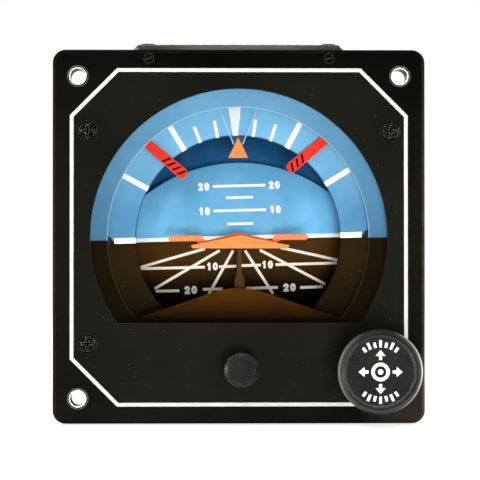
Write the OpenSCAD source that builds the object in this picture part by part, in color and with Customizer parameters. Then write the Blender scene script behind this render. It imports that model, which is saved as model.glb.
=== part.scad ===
// Flight director indicator: a three inch panel instrument with a gyro driven attitude dial.
// Millimetres. +Z is up, +X is right as the pilot sees it, and +Y runs back into the panel.
// The origin is the centre of the bezel's front face.

/* [Bezel] */
// Width and height of the bezel
bezel_w = 85.9; // [84:0.1:92]
// How much further the bezel reaches above the mounting holes than below them
bezel_rise = 0.35; // [0:0.05:1]
// Thickness of the bezel plate
bezel_t = 6.5; // [5.5:0.1:9]
// Radius of the bezel's corners
bezel_corner_r = 3; // [1:0.5:5]
// Bevel round the bezel's front edge
bezel_bevel = 0.7; // [0.2:0.1:1.2]
// Distance between mounting holes, both ways
mount_pitch = 74.3; // [73.8:0.1:76]
// Radius of the mounting holes
mount_hole_r = 1.75; // [1.4:0.05:2]
// Radius of the countersink at each mounting hole
mount_sink_r = 2.5; // [2.2:0.1:3]
// Depth of that countersink
mount_sink_depth = 0.45; // [0.2:0.05:1]
// Width across the flats of the white outline
outline_w = 78.1; // [77:0.1:79]
// Length of the outline's corner cut along each side
outline_cut = 10.9; // [9:0.1:14]
// Width of the white outline
outline_line = 1; // [0.6:0.1:1.6]
// Depth of the groove that the outline fills
outline_depth = 0.3; // [0.25:0.05:0.5]

/* [Mask plate and glass] */
// Thickness of the mask plate
mask_t = 1.8; // [1.2:0.1:2.4]
// How far the mask plate lies behind the bezel's face
mask_recess = 0.2; // [0:0.05:0.6]
// Gap between the mask plate and the edge of its seat
mask_gap = 0.15; // [0.05:0.05:0.4]
// Radius of the window in the mask plate
window_r = 34.36; // [32:0.01:35]
// Height of the window's flat below the centre
window_flat = 19.8; // [17:0.1:22]
// Half the spacing across of the four mask screws
mask_screw_x = 35; // [33:0.1:35.5]
// Half the spacing up of the four mask screws
mask_screw_z = 24.5; // [20:0.1:26]
// Radius of the heads of the mask screws
mask_screw_head_r = 2.2; // [1.8:0.1:2.4]
// Thickness of the glass
glass_t = 2; // [1.5:0.1:2.4]
// Radius of the glass
glass_r = 35.8; // [35.5:0.1:36.5]
// Thickness of the gasket in front of the glass
gasket_t = 0.5; // [0.3:0.1:0.8]

/* [Surround and bank ring] */
// Radius of the inner edge of the surround
surround_r = 30.7; // [30:0.1:31.5]
// Depth from the bezel's face to the surround's inner edge
surround_depth = 9.9; // [9:0.1:10.4]
// Wall of the surround
surround_wall = 0.8; // [0.6:0.1:1.2]
// Inner radius of the bank ring
bank_ring_r = 24.1; // [23:0.1:25]
// How far the bank ring reaches past the gimbal's arms
bank_ring_edge = 0.4; // [0.2:0.1:1]
// Thickness of the bank ring
bank_ring_t = 1.2; // [0.8:0.1:1.6]
// Depth of the bank ring's front face
bank_ring_y = 12; // [11.6:0.1:12.6]
// Bank angle at which the instrument rests, in degrees
bank_at_rest = 1.5; // [0:0.5:5]

/* [Dial and gyro] */
// Radius of the pitch dial
dial_r = 36.5; // [36:0.1:37]
// Thickness of the pitch dial
dial_t = 2.4; // [1.5:0.1:2.8]
// Room between the gyro housing and the side of the dial
dial_side_room = 3.4; // [3:0.1:3.6]
// Height of the dial's top edge above its centre
dial_top = 18; // [15:0.5:20]
// Radius of the arc of the dial's top edge
dial_arc_r = 37.3; // [34:0.1:40]
// Depth of the pitch axis
pitch_axis_y = 50.5; // [50.5:0.1:52]
// Wall of the ball behind the dial
ball_wall = 1; // [0.8:0.1:1.4]
// Radius of the gyro housing
housing_r = 25; // [23:0.1:25.5]
// Height of the gyro housing
housing_h = 34; // [30:1:36]
// Wall of the gyro housing
housing_wall = 1.6; // [1.2:0.1:2.2]
// Gap between the rotor and the wall of the housing
rotor_gap = 3.4; // [2:0.1:5]
// Height of the rotor's rim
rotor_h = 16; // [12:1:18]

/* [Roll gimbal] */
// Thickness of the gimbal's arms
arm_t = 3; // [2.5:0.1:3.2]
// Height of the gimbal's arms
arm_h = 14; // [10:0.5:15]
// Thickness of the web across the back of the gimbal
web_t = 4; // [3:0.1:5]
// Radius of the roll shaft
roll_shaft_r = 4; // [3.5:0.1:4.5]
// Radius of the pitch pivots
pivot_r = 1.2; // [1:0.05:1.4]
// Clearance round shafts that turn or slide
run_gap = 0.04; // [0.02:0.01:0.08]

/* [Case] */
// Width and height of the case
case_w = 81; // [80.5:0.1:82]
// Length of the case behind the bezel
case_len = 140; // [136:1:160]
// Wall of the case
case_wall = 1.3; // [1:0.1:1.6]
// Radius of the case's corners
case_corner_r = 20; // [18:0.5:22]
// Thickness of the rear cover
rear_t = 3; // [2.5:0.1:4]
// Width of the lamp cover where it leaves the case
lamp_cover_w = 51; // [46:0.1:52]
// Height of the lamp cover above the case
lamp_cover_h = 4.6; // [3.6:0.1:5]
// Length of the lamp cover
lamp_cover_len = 22; // [18:0.5:30]

/* [Controls] */
// Distance of the small knob to the right of the centre
adjust_x = 0.4; // [-1:0.1:1]
// Distance of both knobs below the centre
knob_z = 30.3; // [29.5:0.1:31]
// Distance of the pull knob to the right of the centre
pull_x = 31.3; // [30.5:0.1:31.5]
// Radius of the small knob
adjust_knob_r = 4; // [3.5:0.1:5]
// Length of the small knob
adjust_knob_len = 8.5; // [6:0.5:12]
// Radius of the pull knob
pull_knob_r = 9.5; // [8.5:0.1:10]
// Length of the pull knob
pull_knob_len = 14; // [11:0.5:16]
// How far the pull knob comes out
pull_travel = 6.5; // [4:0.5:7]
// How far the airplane moves up and down from the middle
airplane_travel = 2.5; // [1:0.1:2.8]
// Size of the adjuster's teeth, the pitch circle's diameter per tooth
tooth_module = 0.6; // [0.5:0.05:0.7]
// Number of teeth of the adjuster's pinion
pinion_teeth = 12; // [11:1:13]

/* [Pointers] */
// Half the width of the airplane symbol
airplane_half_w = 11.55; // [10:0.1:13]
// Height of the airplane's nose above the centre
airplane_nose_z = 0.6; // [0.5:0.05:1.5]
// Height of the airplane symbol
airplane_h = 3.15; // [3:0.05:4.5]
// Thickness of the airplane and its mast
airplane_t = 1; // [0.8:0.1:1.2]
// Lean of the command bars at rest, in degrees
bar_lean = 0.75; // [0:0.05:5]
// Reach of each command bar to the side
bar_reach = 16.4; // [14:0.1:18]
// Thickness of the command bars
bar_t = 0.8; // [0.6:0.1:0.9]
// Length of each flag's blade from its pivot
flag_len = 21.6; // [20:0.1:22.5]
// Width of a flag at its tip
flag_w = 2.6; // [1.8:0.1:3]
// Thickness of a flag
flag_t = 0.4; // [0.3:0.05:0.5]

/* [Hidden] */
$fn = 96;

// A small gap between fixed pieces that fit one inside the other
fit_gap = 0.1;
// How far a cut runs past the face that it opens
over = 1;
corner_cut_per_inset = 2 - sqrt(2);
bezel_half = bezel_w / 2;
outline_half = outline_w / 2;
seat_half = outline_half - outline_line;
seat_cut = outline_cut - corner_cut_per_inset * outline_line;
mask_half = seat_half - mask_gap;
mask_cut = seat_cut - corner_cut_per_inset * mask_gap;
seat_y = mask_recess + mask_t;
glass_y = seat_y + gasket_t;
opening_r = glass_r + fit_gap;
opening_flat = window_flat + 1.6;
glass_flat = opening_flat - fit_gap;
mount_half = mount_pitch / 2;
sleeve_r = mount_hole_r + 0.3;

// Depths of the layers in front of the ball, from the bezel's back to the bank ring
lower_mask_y = glass_y + glass_t + 0.7;
lower_mask_t = 1;
lower_mask_crest = 11.8;
lower_mask_crest_r = 19;
lower_mask_half_w = 27;
lower_mask_foot = 26;
airplane_y = bezel_t + 1.1;
bar_y = airplane_y + airplane_t + 0.7;
lift_y = bar_y + bar_t + 0.2;
lift_t = 0.7;
flag_y = surround_depth + 0.85;

case_half = case_w / 2;
case_in_half = case_half - case_wall;
case_in_corner = case_corner_r - case_wall;
case_end = bezel_t + case_len;
spigot_half = case_in_half - fit_gap;
spigot_t = 1.5;
spigot_len = 3;
spigot_in_half = spigot_half - spigot_t;
spigot_in_corner = case_in_corner - spigot_t;

rim_r = window_r + 0.59;
rim_t = glass_r - rim_r;
rim_y = glass_y + glass_t + fit_gap;
flange_y = bezel_t + 0.05;
flange_t = 1;
flange_half = spigot_in_half - 0.2;
flange_corner = spigot_in_corner;
surround_cut = opening_flat - 0.7;
surround_back = surround_depth + 0.25;
frame_screw_near = 18.3;
frame_screw_in = 3;
frame_screw_far = flange_half - frame_screw_in;

// The pinion and the rack that it moves
pitch_r = tooth_module * pinion_teeth / 2;
tooth_pitch = PI * tooth_module;
addendum = 0.8 * tooth_module;
dedendum = 1.05 * tooth_module;
pressure_angle = 25;
backlash = 0.08;
pinion_y = airplane_y - 0.05;
pinion_t = airplane_t + 0.1;
rack_line_x = adjust_x - pitch_r;
rack_back = 2.9;
shaft_r = 1.5;
bush_r = 2.3;
bush_flange_r = 3.1;
bush_flange_t = 0.8;

// Guides for the airplane symbol and the command bars
guide_x = 10;
guide_y = 9.6;
guide_r = 0.8;
guide_low = 36.2;
guide_high = 17.6;
sleeve_wall = 1;
guide_lug = 1.2;
carriage_top = 21;
command_travel = 4.5;
command_pivot_z = -0.6;
command_pin_r = 0.5;
crank_len = 8;
meter_x = 30;
meter_z = 30;
meter_r = 4.6;
meter_len = 16;
meter_y = 13.5;
crank_pin_r = 0.6;
crank_shaft_r = 0.7;
crank_tip_x = crank_len - meter_x;
crank_play = 0.32;

// Flags: each blade's pivot and the direction it points in when it shows
left_flag_pivot = [-28.75, 28.45];
right_flag_pivot = [28.4, 29.65];
left_flag_angle = -40.4;
right_flag_angle = 219.6;
flag_root_w = 1.8;
flag_hub_r = 1.5;
flag_shaft_r = 0.6;
flag_meter_r = 3.6;
flag_meter_len = 13;
flag_post_out = 3.2;
flag_post_r = 1.1;

// The ball and its gyro
dial_half_w = housing_r + dial_side_room;
rotor_r = housing_r - housing_wall - rotor_gap;
ball_r = dial_r - dial_t - 0.15;
dial_lens = dial_arc_r - dial_top;
horizon_gap = 0.05;
ball_side_t = 1.6;
ball_side_in = 0.15;
pivot_inner = dial_half_w - ball_side_in - ball_side_t;
arm_in = dial_half_w + 0.9;
arm_out = arm_in + arm_t;
bank_ring_outer_r = arm_out + bank_ring_edge;
ring_back = bank_ring_y + bank_ring_t;
web_y = pitch_axis_y + ball_r + 1.7;
web_back = web_y + web_t;
pitch_bearing_r = 3;
pivot_depth = housing_wall + 1;
roll_bearing_r = 8;
roll_bearing_t = 4;
shaft_flange_t = 2;
shaft_shoulder_r = roll_shaft_r + 0.6;
shaft_bolt_head = 1.35;
shaft_bolt_circle = shaft_shoulder_r + shaft_bolt_head + 0.15;
shaft_flange_r = shaft_bolt_circle + shaft_bolt_head + 0.15;
bearing_y = web_back + shaft_flange_t + 2.5;
bearing_gap = 8;
bulkhead_t = 3;
boss_r = roll_bearing_r + 2.5;
bulkhead_y = bearing_y;
boss_end = bearing_y + 2 * roll_bearing_t + bearing_gap + 0.5;
lever_y = boss_end + 4;
cage_collar_y = lever_y + 6;
ring_stack_y = cage_collar_y + 1.6;
slip_ring_t = 0.8;
slip_ring_step = 1.4;
slip_ring_count = 8;
slip_ring_r = 5.5;
roll_shaft_end = ring_stack_y + slip_ring_count * slip_ring_step + 0.6;
board_y = roll_shaft_end + 2;
board_t = 1.6;
board_half = case_in_half - 6.2;
board_corner_r = 14;
board_part = [7, 2, 5];
board_part_x = [-22:11:22];
board_part_z = [-18, 18];

// The quick erection control
pull_shaft_r = 1.6;
pull_collar_r = 3.4;
pull_collar_t = 1.2;
lever_arm = 16;
lever_x = pull_x - lever_arm;
finger_r = 1.2;
finger_play = 0.5;
spring_r = 2.7;
spring_wire = 0.7;
spring_turns = 7;
spring_len = 11;
pull_bush_back = bezel_t + 3.4;

screw_r = 0.9;
sides = [90, 180, 270];
side_screw_x = 17;
mask_screw_sink = 0.3;
surround_holes = [[-frame_screw_near, frame_screw_far], [frame_screw_near, frame_screw_far],
    [-frame_screw_far, -frame_screw_near], [frame_screw_far, -frame_screw_near]];
mask_holes = [[-20, -23.8], [20, -23.8]];
guide_strip_x = 13.4;
guide_strip_w = 2.2;
guide_base_back = bezel_t + 1;
guide_holes = [for (s = [-1, 1], z = [-33, -28.5]) [s * guide_strip_x, z]];
front_holes = concat(surround_holes, mask_holes, guide_holes);
crest_centre_z = -lower_mask_crest - lower_mask_crest_r;
mask_corner_rise = -window_flat - 0.2 - crest_centre_z;
crest_half_angle = 90 - atan2(mask_corner_rise, lower_mask_half_w)
    - acos(lower_mask_crest_r / norm([lower_mask_half_w, mask_corner_rise]));
index_boss_half_w = 4.3;
index_boss_h = 5;
index_screw_z = surround_r + 3.1;
index_t = 0.6;
index_mark_t = 0.5;
index_tip_half_w = 1.2;
index_low_z = 22;
index_apex_z = 23.6;
index_base_z = 18.8;
index_half_w = 2.3;
knurl_count = 32;
knurl_depth = 0.35;
airplane_end_h = 0.75;
airplane_end_in = 0.4;
mast_x = adjust_x - 0.14;
mast_top_half_w = 0.5;
mast_low_half_w = 1.15;
mast_shoulder_top = -8.2;
mast_shoulder_low = -9.6;
carriage_h = 2.2;
rack_low_z = -34.8;
airplane_sleeve_h = 4;
command_low_z = 26;
bar_low_z = -0.7;
bar_h = 1.38;
bar_nose_z = 1.22;
bar_root = [7.82, -0.67];
bar_slant = 0.83;
bar_heel = [9, -1.35];
bar_heel_slant = 0.9;
bar_hub = [0.8, -1.75];
meter_post = [-3.5, 0.5];
lamp_cover_y = bezel_t + 0.5;
lamp_cover_top = case_half + lamp_cover_h;
lamp_cover_slope = 2.1;
lamp_cover_shoulder = lamp_cover_top - 2.25;
lamp_cover_screw_x = 21.2;
lamp_screw_y = lamp_cover_y + 3.5;
lamp_slot_y = 12.5;
lamp_slot_len = 7;
lamp_slot_half_w = 16;
lamp_room_half_w = 18;
lamp_pitch = 11;
lamp_y = lamp_slot_y + lamp_slot_len / 2;
lamp_r = 1.6;
signal_at = [-13, -6];
signal_r = 11;
power_at = [15, 10];
power_r = 7;
connector_len = 13;
pin_end = case_end + rear_t + connector_len - 5;
connector_screw_r = 0.9;
connectors = [[signal_at[0], signal_at[1], signal_r, 10], [power_at[0], power_at[1], power_r, 7]];
board_post_half = board_half - 7;
board_posts = [for (x = [-1, 1], z = [-1, 1]) board_post_half * [x, z]];
lever_lugs = [-22.5, -12];
lug_t = 2;
lever_r = 1.5;
cage_finger_z = -5.5;
lever_arm_z = -knob_z + pull_shaft_r + 2.4;
bulkhead_windows = [[-24, 24], [24, 24], [-24, -24]];
brush_r = 0.2;
brush_z = slip_ring_r + brush_r + 0.05;
arm_front_h = 8;
web_h = 20;
ring_screw_x = arm_in + arm_t / 2;
ring_screw_shank = 0.7;
ring_screw_head = 1.1;
ring_screw_sink = 0.7;
shaft_screw_r = 0.8;
wire_bore_r = 1.6;
ring_sleeve_r = 4.2;
ring_core_r = 3.2;
housing_cap_t = 3;
rotor_bearing_r = 4;
rotor_shaft_r = 1.5;
erector_t = 5;
erector_r = 12;
stator_r = 12;
ball_span = 100;
pull_front = -pull_knob_len - 2.5;
pull_back = -2.5;
pull_face_sink = 0.6;
pull_face_r = 7.6;
pull_rim = 0.65;
pull_end = lever_y + finger_r + finger_play + pull_collar_t + 0.8;
spring_y = pull_bush_back + 0.3;

module slab(y0, y1) translate([0, y1, 0]) rotate([90, 0, 0]) linear_extrude(y1 - y0) children();
module rod(x, z, y0, y1, r) translate([x, y1, z]) rotate([90, 0, 0]) cylinder(r = r, h = y1 - y0);
module tapered(x, z, y0, y1, r0, r1)
    translate([x, y1, z]) rotate([90, 0, 0]) cylinder(r1 = r1, r2 = r0, h = y1 - y0);
module turned(x = 0, z = 0) translate([x, 0, z]) rotate([-90, 0, 0]) rotate_extrude() children();
module four(x, z) for (sx = [-1, 1], sz = [-1, 1]) translate([sx * x, 0, sz * z]) children();
module banked() rotate([0, -bank_at_rest, 0]) children();
module about_pitch_axis() translate([0, pitch_axis_y, 0]) rotate([0, 90, 0]) children();

module octagon(h, c)
    polygon([[h - c, h], [h, h - c], [h, c - h], [h - c, -h], [c - h, -h], [-h, c - h], [-h, h - c], [c - h, h]]);
module window_shape(r, flat) difference() {
    circle(r);
    translate([-r, -flat - 2 * r]) square(2 * r);
}
module rounded_square(half, r) {
    square([2 * half, 2 * (half - r)], center = true);
    square([2 * (half - r), 2 * half], center = true);
    for (x = [-1, 1], z = [-1, 1]) translate([x, z] * (half - r)) circle(r);
}
function arc(cx, cz, r, a0, a1, n) = [for (i = [0:n]) let (a = a0 + (a1 - a0) * i / n) [cx + r * cos(a), cz + r * sin(a)]];

module bezel() color("#191a12") difference() {
    union() {
        hull() for (x = [-1, 1], z = [bezel_corner_r - bezel_half, bezel_half + bezel_rise - bezel_corner_r])
            translate([x * (bezel_half - bezel_corner_r), 0, z]) {
                tapered(0, 0, 0, bezel_bevel, bezel_corner_r - bezel_bevel, bezel_corner_r, $fn = 48);
                rod(0, 0, bezel_bevel, bezel_t, bezel_corner_r, $fn = 48);
            }
        slab(bezel_t, bezel_t + spigot_len) difference() {
            rounded_square(spigot_half, case_in_corner);
            rounded_square(spigot_in_half, spigot_in_corner);
        }
    }
    slab(-over, outline_depth) octagon(outline_half, outline_cut);
    slab(-over, seat_y) octagon(seat_half, seat_cut);
    slab(seat_y - over, bezel_t + over) window_shape(opening_r, opening_flat);
    slab(lower_mask_y - fit_gap, bezel_t + over)
        translate([-lower_mask_half_w - 0.3, -lower_mask_foot - 0.3])
            square([2 * lower_mask_half_w + 0.6, lower_mask_foot - opening_flat + 1]);
    four(mount_half, mount_half) {
        rod(0, 0, -over, bezel_t + over, sleeve_r);
        tapered(0, 0, -0.01, mount_sink_depth, mount_sink_r, sleeve_r);
    }
    four(mask_screw_x, mask_screw_z) rod(0, 0, seat_y - over, bezel_t - 0.5, screw_r + 0.05);
    for (p = front_holes) rod(p[0], p[1], bezel_t - 3, bezel_t + over, screw_r + 0.05);
    rod(adjust_x, -knob_z, seat_y - over, bezel_t + over, bush_r + 0.02);
    rod(pull_x, -knob_z, seat_y - over, bezel_t + over, bush_r + 0.02);
    rod(pull_x, -knob_z, bezel_t, bezel_t + spigot_len + over, bush_flange_r + 0.3);
    for (a = sides) rotate([0, a, 0]) for (x = [-1, 1])
        translate([x * side_screw_x, bezel_t + spigot_len / 2, spigot_half - spigot_t - over])
            cylinder(r = screw_r + 0.05, h = spigot_t + 2 * over);
}
module mounting_sleeves() color("#d8d6cf") four(mount_half, mount_half)
    slab(0, bezel_t) difference() { circle(sleeve_r - 0.02); circle(mount_hole_r); }

module bezel_outline() color("#f6f7f1") slab(0.02, outline_depth) difference() {
    octagon(outline_half - 0.02, outline_cut);
    octagon(seat_half, seat_cut);
}

module mask_plate() color("#1c1c1b") difference() {
    slab(mask_recess, seat_y) difference() {
        octagon(mask_half, mask_cut);
        window_shape(window_r, window_flat);
        translate([adjust_x, -knob_z]) circle(shaft_r + 0.3);
        translate([pull_x, -knob_z]) circle(pull_shaft_r + 0.3);
    }
    four(mask_screw_x, mask_screw_z) {
        rod(0, 0, 0, seat_y + over, screw_r + 0.1);
        rod(0, 0, 0, mask_recess + mask_screw_sink, mask_screw_head_r + 0.15);
    }
}

// A screw along Y with its cross-slotted head at y0 and its point at y1
module screw(y0, y1, head_r, head_t, r) difference() {
    union() {
        rod(0, 0, y0 + head_t * 0.4, y0 + head_t, head_r);
        tapered(0, 0, y0, y0 + head_t * 0.4, head_r * 0.82, head_r);
        rod(0, 0, y0 + head_t, y1, r);
    }
    for (a = [0, 90]) rotate([0, a, 0])
        translate([-head_r * 0.62, y0 - over, -head_r * 0.13]) cube([head_r * 1.24, over + head_t * 0.6, head_r * 0.26]);
}

module mask_screws() color("#161612") four(mask_screw_x, mask_screw_z)
    screw(-0.55, bezel_t - 1, mask_screw_head_r, 0.55 + mask_recess + mask_screw_sink, screw_r);

module window_gasket() color("#111110") slab(seat_y, glass_y) difference() {
    window_shape(glass_r - 0.05, glass_flat);
    window_shape(window_r + 0.3, window_flat + 0.3);
}
module window_glass() color("#c8d8dc", 0.25) slab(glass_y, glass_y + glass_t) window_shape(glass_r, glass_flat);

module surround() color("#5a93bd") difference() {
    union() {
        turned() polygon([[rim_r, rim_y], [rim_r + rim_t, rim_y], [rim_r + rim_t, flange_y + flange_t],
            [rim_r, flange_y + flange_t], [surround_r + surround_wall, surround_back],
            [surround_r, surround_back], [surround_r, surround_depth]]);
        slab(flange_y, flange_y + flange_t) difference() {
            rounded_square(flange_half, flange_corner);
            circle(rim_r + rim_t - 0.2);
        }
        difference() {
            slab(flange_y, surround_back) translate([-index_boss_half_w, surround_r + surround_wall / 2])
                square([2 * index_boss_half_w, index_boss_h]);
            turned() polygon([[0, rim_y], [rim_r + surround_wall / 2, rim_y],
                [surround_r + surround_wall / 2, surround_depth], [0, surround_depth]]);
        }
    }
    translate([-case_w, 0, -case_w - surround_cut]) cube([2 * case_w, case_w, case_w]);
    for (p = surround_holes) rod(p[0], p[1], flange_y - over, flange_y + flange_t + over, screw_r + 0.1);
    rod(0, index_screw_z, surround_back - 2.4, surround_back + over, screw_r + 0.05);
}

module frame_screws() color("#8d8b84") {
    for (p = surround_holes) translate([p[0], 0, p[1]]) mirror([0, 1, 0])
        screw(-flange_y - flange_t - 0.9, -bezel_t + 2.6, 1.7, 0.9, screw_r);
    for (p = mask_holes) translate([p[0], 0, p[1]]) mirror([0, 1, 0])
        screw(-lower_mask_y - lower_mask_t - 0.8, -bezel_t + 2.6, 1.6, 0.8, screw_r);
    for (p = guide_holes) translate([p[0], 0, p[1]]) mirror([0, 1, 0])
        screw(-guide_base_back - 0.9, -bezel_t + 2.6, 1.3, 0.9, screw_r);
    translate([0, 0, index_screw_z]) mirror([0, 1, 0])
        screw(-surround_back - index_t - 0.6, -surround_back + 2, 1.5, 0.6, screw_r);
}

module lower_mask() color("#4a2d14") slab(lower_mask_y, lower_mask_y + lower_mask_t) difference() {
    polygon(concat([[-lower_mask_half_w, -lower_mask_foot], [-lower_mask_half_w, -window_flat - 0.2]],
        arc(0, -lower_mask_crest - lower_mask_crest_r, lower_mask_crest_r,
            90 + crest_half_angle, 90 - crest_half_angle, 16),
        [[lower_mask_half_w, -window_flat - 0.2], [lower_mask_half_w, -lower_mask_foot]]));
    for (p = mask_holes) translate(p) circle(screw_r + 0.1);
}

module index_carrier() color("#9fc4dc", 0.35) slab(surround_back, surround_back + index_t) difference() {
    polygon([[-index_boss_half_w, surround_r + index_boss_h], [index_boss_half_w, surround_r + index_boss_h],
        [index_boss_half_w, surround_r - 0.9], [index_tip_half_w, index_low_z],
        [-index_tip_half_w, index_low_z], [-index_boss_half_w, surround_r - 0.9]]);
    translate([0, index_screw_z]) circle(screw_r + 0.05);
}
module roll_index() color("#fd9a58") slab(surround_back - index_mark_t, surround_back)
    polygon([[0, index_apex_z], [index_half_w, index_base_z], [-index_half_w, index_base_z]]);

module bush(x, back, bore) translate([x, 0, -knob_z]) difference() {
    union() {
        rod(0, 0, seat_y + fit_gap, back, bush_r);
        rod(0, 0, bezel_t, bezel_t + bush_flange_t, bush_flange_r);
    }
    rod(0, 0, 0, back + over, bore);
}
module shaft_bushes() color("#b48a3c") {
    bush(adjust_x, bezel_t + bush_flange_t, shaft_r + run_gap);
    bush(pull_x, pull_bush_back, pull_shaft_r + run_gap);
}

module slide_frame() color("#8f9094") difference() {
    union() {
        for (s = [-1, 1]) {
            slab(bezel_t, guide_base_back) translate([s * guide_strip_x - guide_strip_w / 2, -guide_low - guide_lug])
                square([guide_strip_w, guide_low - guide_high + 2 * guide_lug]);
            for (z = [-guide_low - guide_lug, -guide_high])
                slab(guide_base_back - 0.01, guide_y + guide_r + sleeve_wall)
                    translate([s * guide_strip_x - guide_strip_w / 2, z]) square([guide_strip_w, guide_lug]);
            for (z = [-guide_low - guide_lug, -guide_high])
                slab(guide_y - guide_r - 0.4, guide_y + guide_r + 0.4)
                    translate([s > 0 ? guide_x - 1.4 : -guide_strip_x, z]) square([guide_strip_x - guide_x + 1.4, guide_lug]);
        }
    }
    for (s = [-1, 1]) translate([s * guide_x, guide_y, -guide_low - guide_lug - over])
        cylinder(r = guide_r + 0.01, h = guide_low - guide_high + 2 * guide_lug + 2 * over);
    for (p = guide_holes) rod(p[0], p[1], bezel_t - over, guide_base_back + over, screw_r + 0.1);
}
module guide_rods() color("#c9cacc") for (s = [-1, 1]) translate([s * guide_x, guide_y, -guide_low - guide_lug])
    cylinder(r = guide_r, h = guide_low - guide_high + 2 * guide_lug);

module guide_sleeve(x, z0, z1) translate([x, guide_y, -z1]) difference() {
    cylinder(r = guide_r + sleeve_wall, h = z1 - z0);
    translate([0, 0, -over]) cylinder(r = guide_r + run_gap, h = z1 - z0 + 2 * over);
}
module sleeve_bore(x, z0, z1) translate([x, guide_y, -z1 - over])
    cylinder(r = guide_r + run_gap, h = z1 - z0 + 2 * over);

// Involute tooth flanks of the pinion
base_r = pitch_r * cos(pressure_angle);
tip_r = pitch_r + addendum;
root_r = pitch_r - dedendum;
function roll_angle(r) = sqrt(pow(max(r, base_r) / base_r, 2) - 1) * 180 / PI;
function flank_angle(r) = roll_angle(r) - atan(roll_angle(r) * PI / 180);
half_tooth = 90 / pinion_teeth - backlash / 2 / pitch_r * 180 / PI + flank_angle(pitch_r);
function flank(side, n) = [for (i = [0:n]) let (r = root_r + (tip_r - root_r) * i / n,
    a = side * (half_tooth - flank_angle(r))) [r * cos(a), r * sin(a)]];
function reversed(list) = [for (i = [len(list) - 1:-1:0]) list[i]];
function turned_points(list, a) = [for (p = list) [p[0] * cos(a) - p[1] * sin(a), p[0] * sin(a) + p[1] * cos(a)]];
module pinion_shape() polygon([for (k = [0:pinion_teeth - 1])
    each turned_points(concat(flank(-1, 6), reversed(flank(1, 6))), 360 * k / pinion_teeth)]);

module adjust_shaft() color("#b9babd") {
    rod(adjust_x, -knob_z, -adjust_knob_len + 1.5, pinion_y + pinion_t, shaft_r);
    slab(pinion_y, pinion_y + pinion_t) translate([adjust_x, -knob_z]) difference() {
        rotate(180 + 180 / pinion_teeth) pinion_shape();
        circle(shaft_r - 0.2);
    }
}

module knurled(r, n, depth) polygon([for (i = [0:2 * n - 1]) let (a = 180 * i / n, q = i % 2 ? r : r - depth) [q * cos(a), q * sin(a)]]);
module adjust_knob() color("#2a2b24") difference() {
    intersection() {
        slab(-adjust_knob_len - 0.5, -0.5) translate([adjust_x, -knob_z]) knurled(adjust_knob_r, knurl_count, knurl_depth);
        turned(adjust_x, -knob_z) polygon([[0, -adjust_knob_len - 0.5], [adjust_knob_r * 0.77, -adjust_knob_len - 0.5],
            [adjust_knob_r + 0.1, -adjust_knob_len + 0.75], [adjust_knob_r + 0.1, -1], [adjust_knob_r - 0.4, -0.5], [0, -0.5]]);
    }
    rod(adjust_x, -knob_z, -adjust_knob_len + 1.5, 0, shaft_r);
}

rack_tooth_half = tooth_pitch / 4 - backlash / 2;
rack_lean = tan(pressure_angle);
module rack_teeth(z0, z1) for (k = [floor((z0 + knob_z) / tooth_pitch):ceil((z1 + knob_z) / tooth_pitch)])
    let (z = -knob_z + k * tooth_pitch) if (z > z0 && z < z1)
        polygon([[rack_line_x - dedendum - 0.01, z - rack_tooth_half - dedendum * rack_lean],
            [rack_line_x + addendum, z - rack_tooth_half + addendum * rack_lean],
            [rack_line_x + addendum, z + rack_tooth_half - addendum * rack_lean],
            [rack_line_x - dedendum - 0.01, z + rack_tooth_half + dedendum * rack_lean]]);

airplane_low_z = airplane_nose_z - airplane_h;
mast_foot_z = -carriage_top;
module airplane_symbol() color("#fdaa5b") difference() {
    union() {
        slab(airplane_y, airplane_y + airplane_t) {
            translate([adjust_x, 0]) polygon([[0, airplane_nose_z], [airplane_half_w, airplane_low_z + airplane_end_h],
                [airplane_half_w - airplane_end_in, airplane_low_z],
                [airplane_end_in - airplane_half_w, airplane_low_z],
                [-airplane_half_w, airplane_low_z + airplane_end_h]]);
            translate([mast_x, 0]) polygon([
                [-mast_top_half_w, airplane_low_z + airplane_end_h], [mast_top_half_w, airplane_low_z + airplane_end_h],
                [mast_top_half_w, mast_shoulder_top], [mast_low_half_w, mast_shoulder_low],
                [mast_low_half_w, mast_foot_z - 1], [-mast_low_half_w, mast_foot_z - 1],
                [-mast_low_half_w, mast_shoulder_low], [-mast_top_half_w, mast_shoulder_top]]);
            translate([rack_line_x - rack_back, mast_foot_z - carriage_h])
                square([guide_x - rack_line_x + rack_back, carriage_h]);
            translate([rack_line_x - rack_back, rack_low_z]) square([rack_back - dedendum, mast_foot_z - rack_low_z - 0.1]);
            rack_teeth(rack_low_z + 0.8, -knob_z + 5.2);
        }
        guide_sleeve(guide_x, carriage_top - 0.4, carriage_top + airplane_sleeve_h);
    }
    sleeve_bore(guide_x, carriage_top - 0.4, carriage_top + airplane_sleeve_h);
}

module command_lift() color("#2b2c2e") difference() {
    union() {
        slab(lift_y, lift_y + lift_t) {
            translate([-0.45, -command_low_z]) square([0.9, command_low_z + command_pivot_z]);
            translate([0, command_pivot_z]) circle(0.85);
            translate([-guide_x, -command_low_z - 2]) square([guide_x + 0.45, 2.2]);
            translate([crank_tip_x - 3.3, -command_low_z - 2]) square([3.3 - crank_tip_x - guide_x, 2]);
            difference() {
                translate([crank_tip_x - 3.3, -meter_z - 1.8]) square([5.5, meter_z + 1.8 - command_low_z - 1]);
                translate([crank_tip_x - 2.1, -meter_z - crank_pin_r - crank_play])
                    square([2.1 + crank_pin_r + crank_play, 2 * (crank_pin_r + crank_play)]);
            }
        }
        rod(0, command_pivot_z, bar_y - 0.15, lift_y + 0.2, command_pin_r);
        guide_sleeve(-guide_x, command_low_z - 3, command_low_z + 2);
    }
    sleeve_bore(-guide_x, command_low_z - 3, command_low_z + 2);
}

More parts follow.
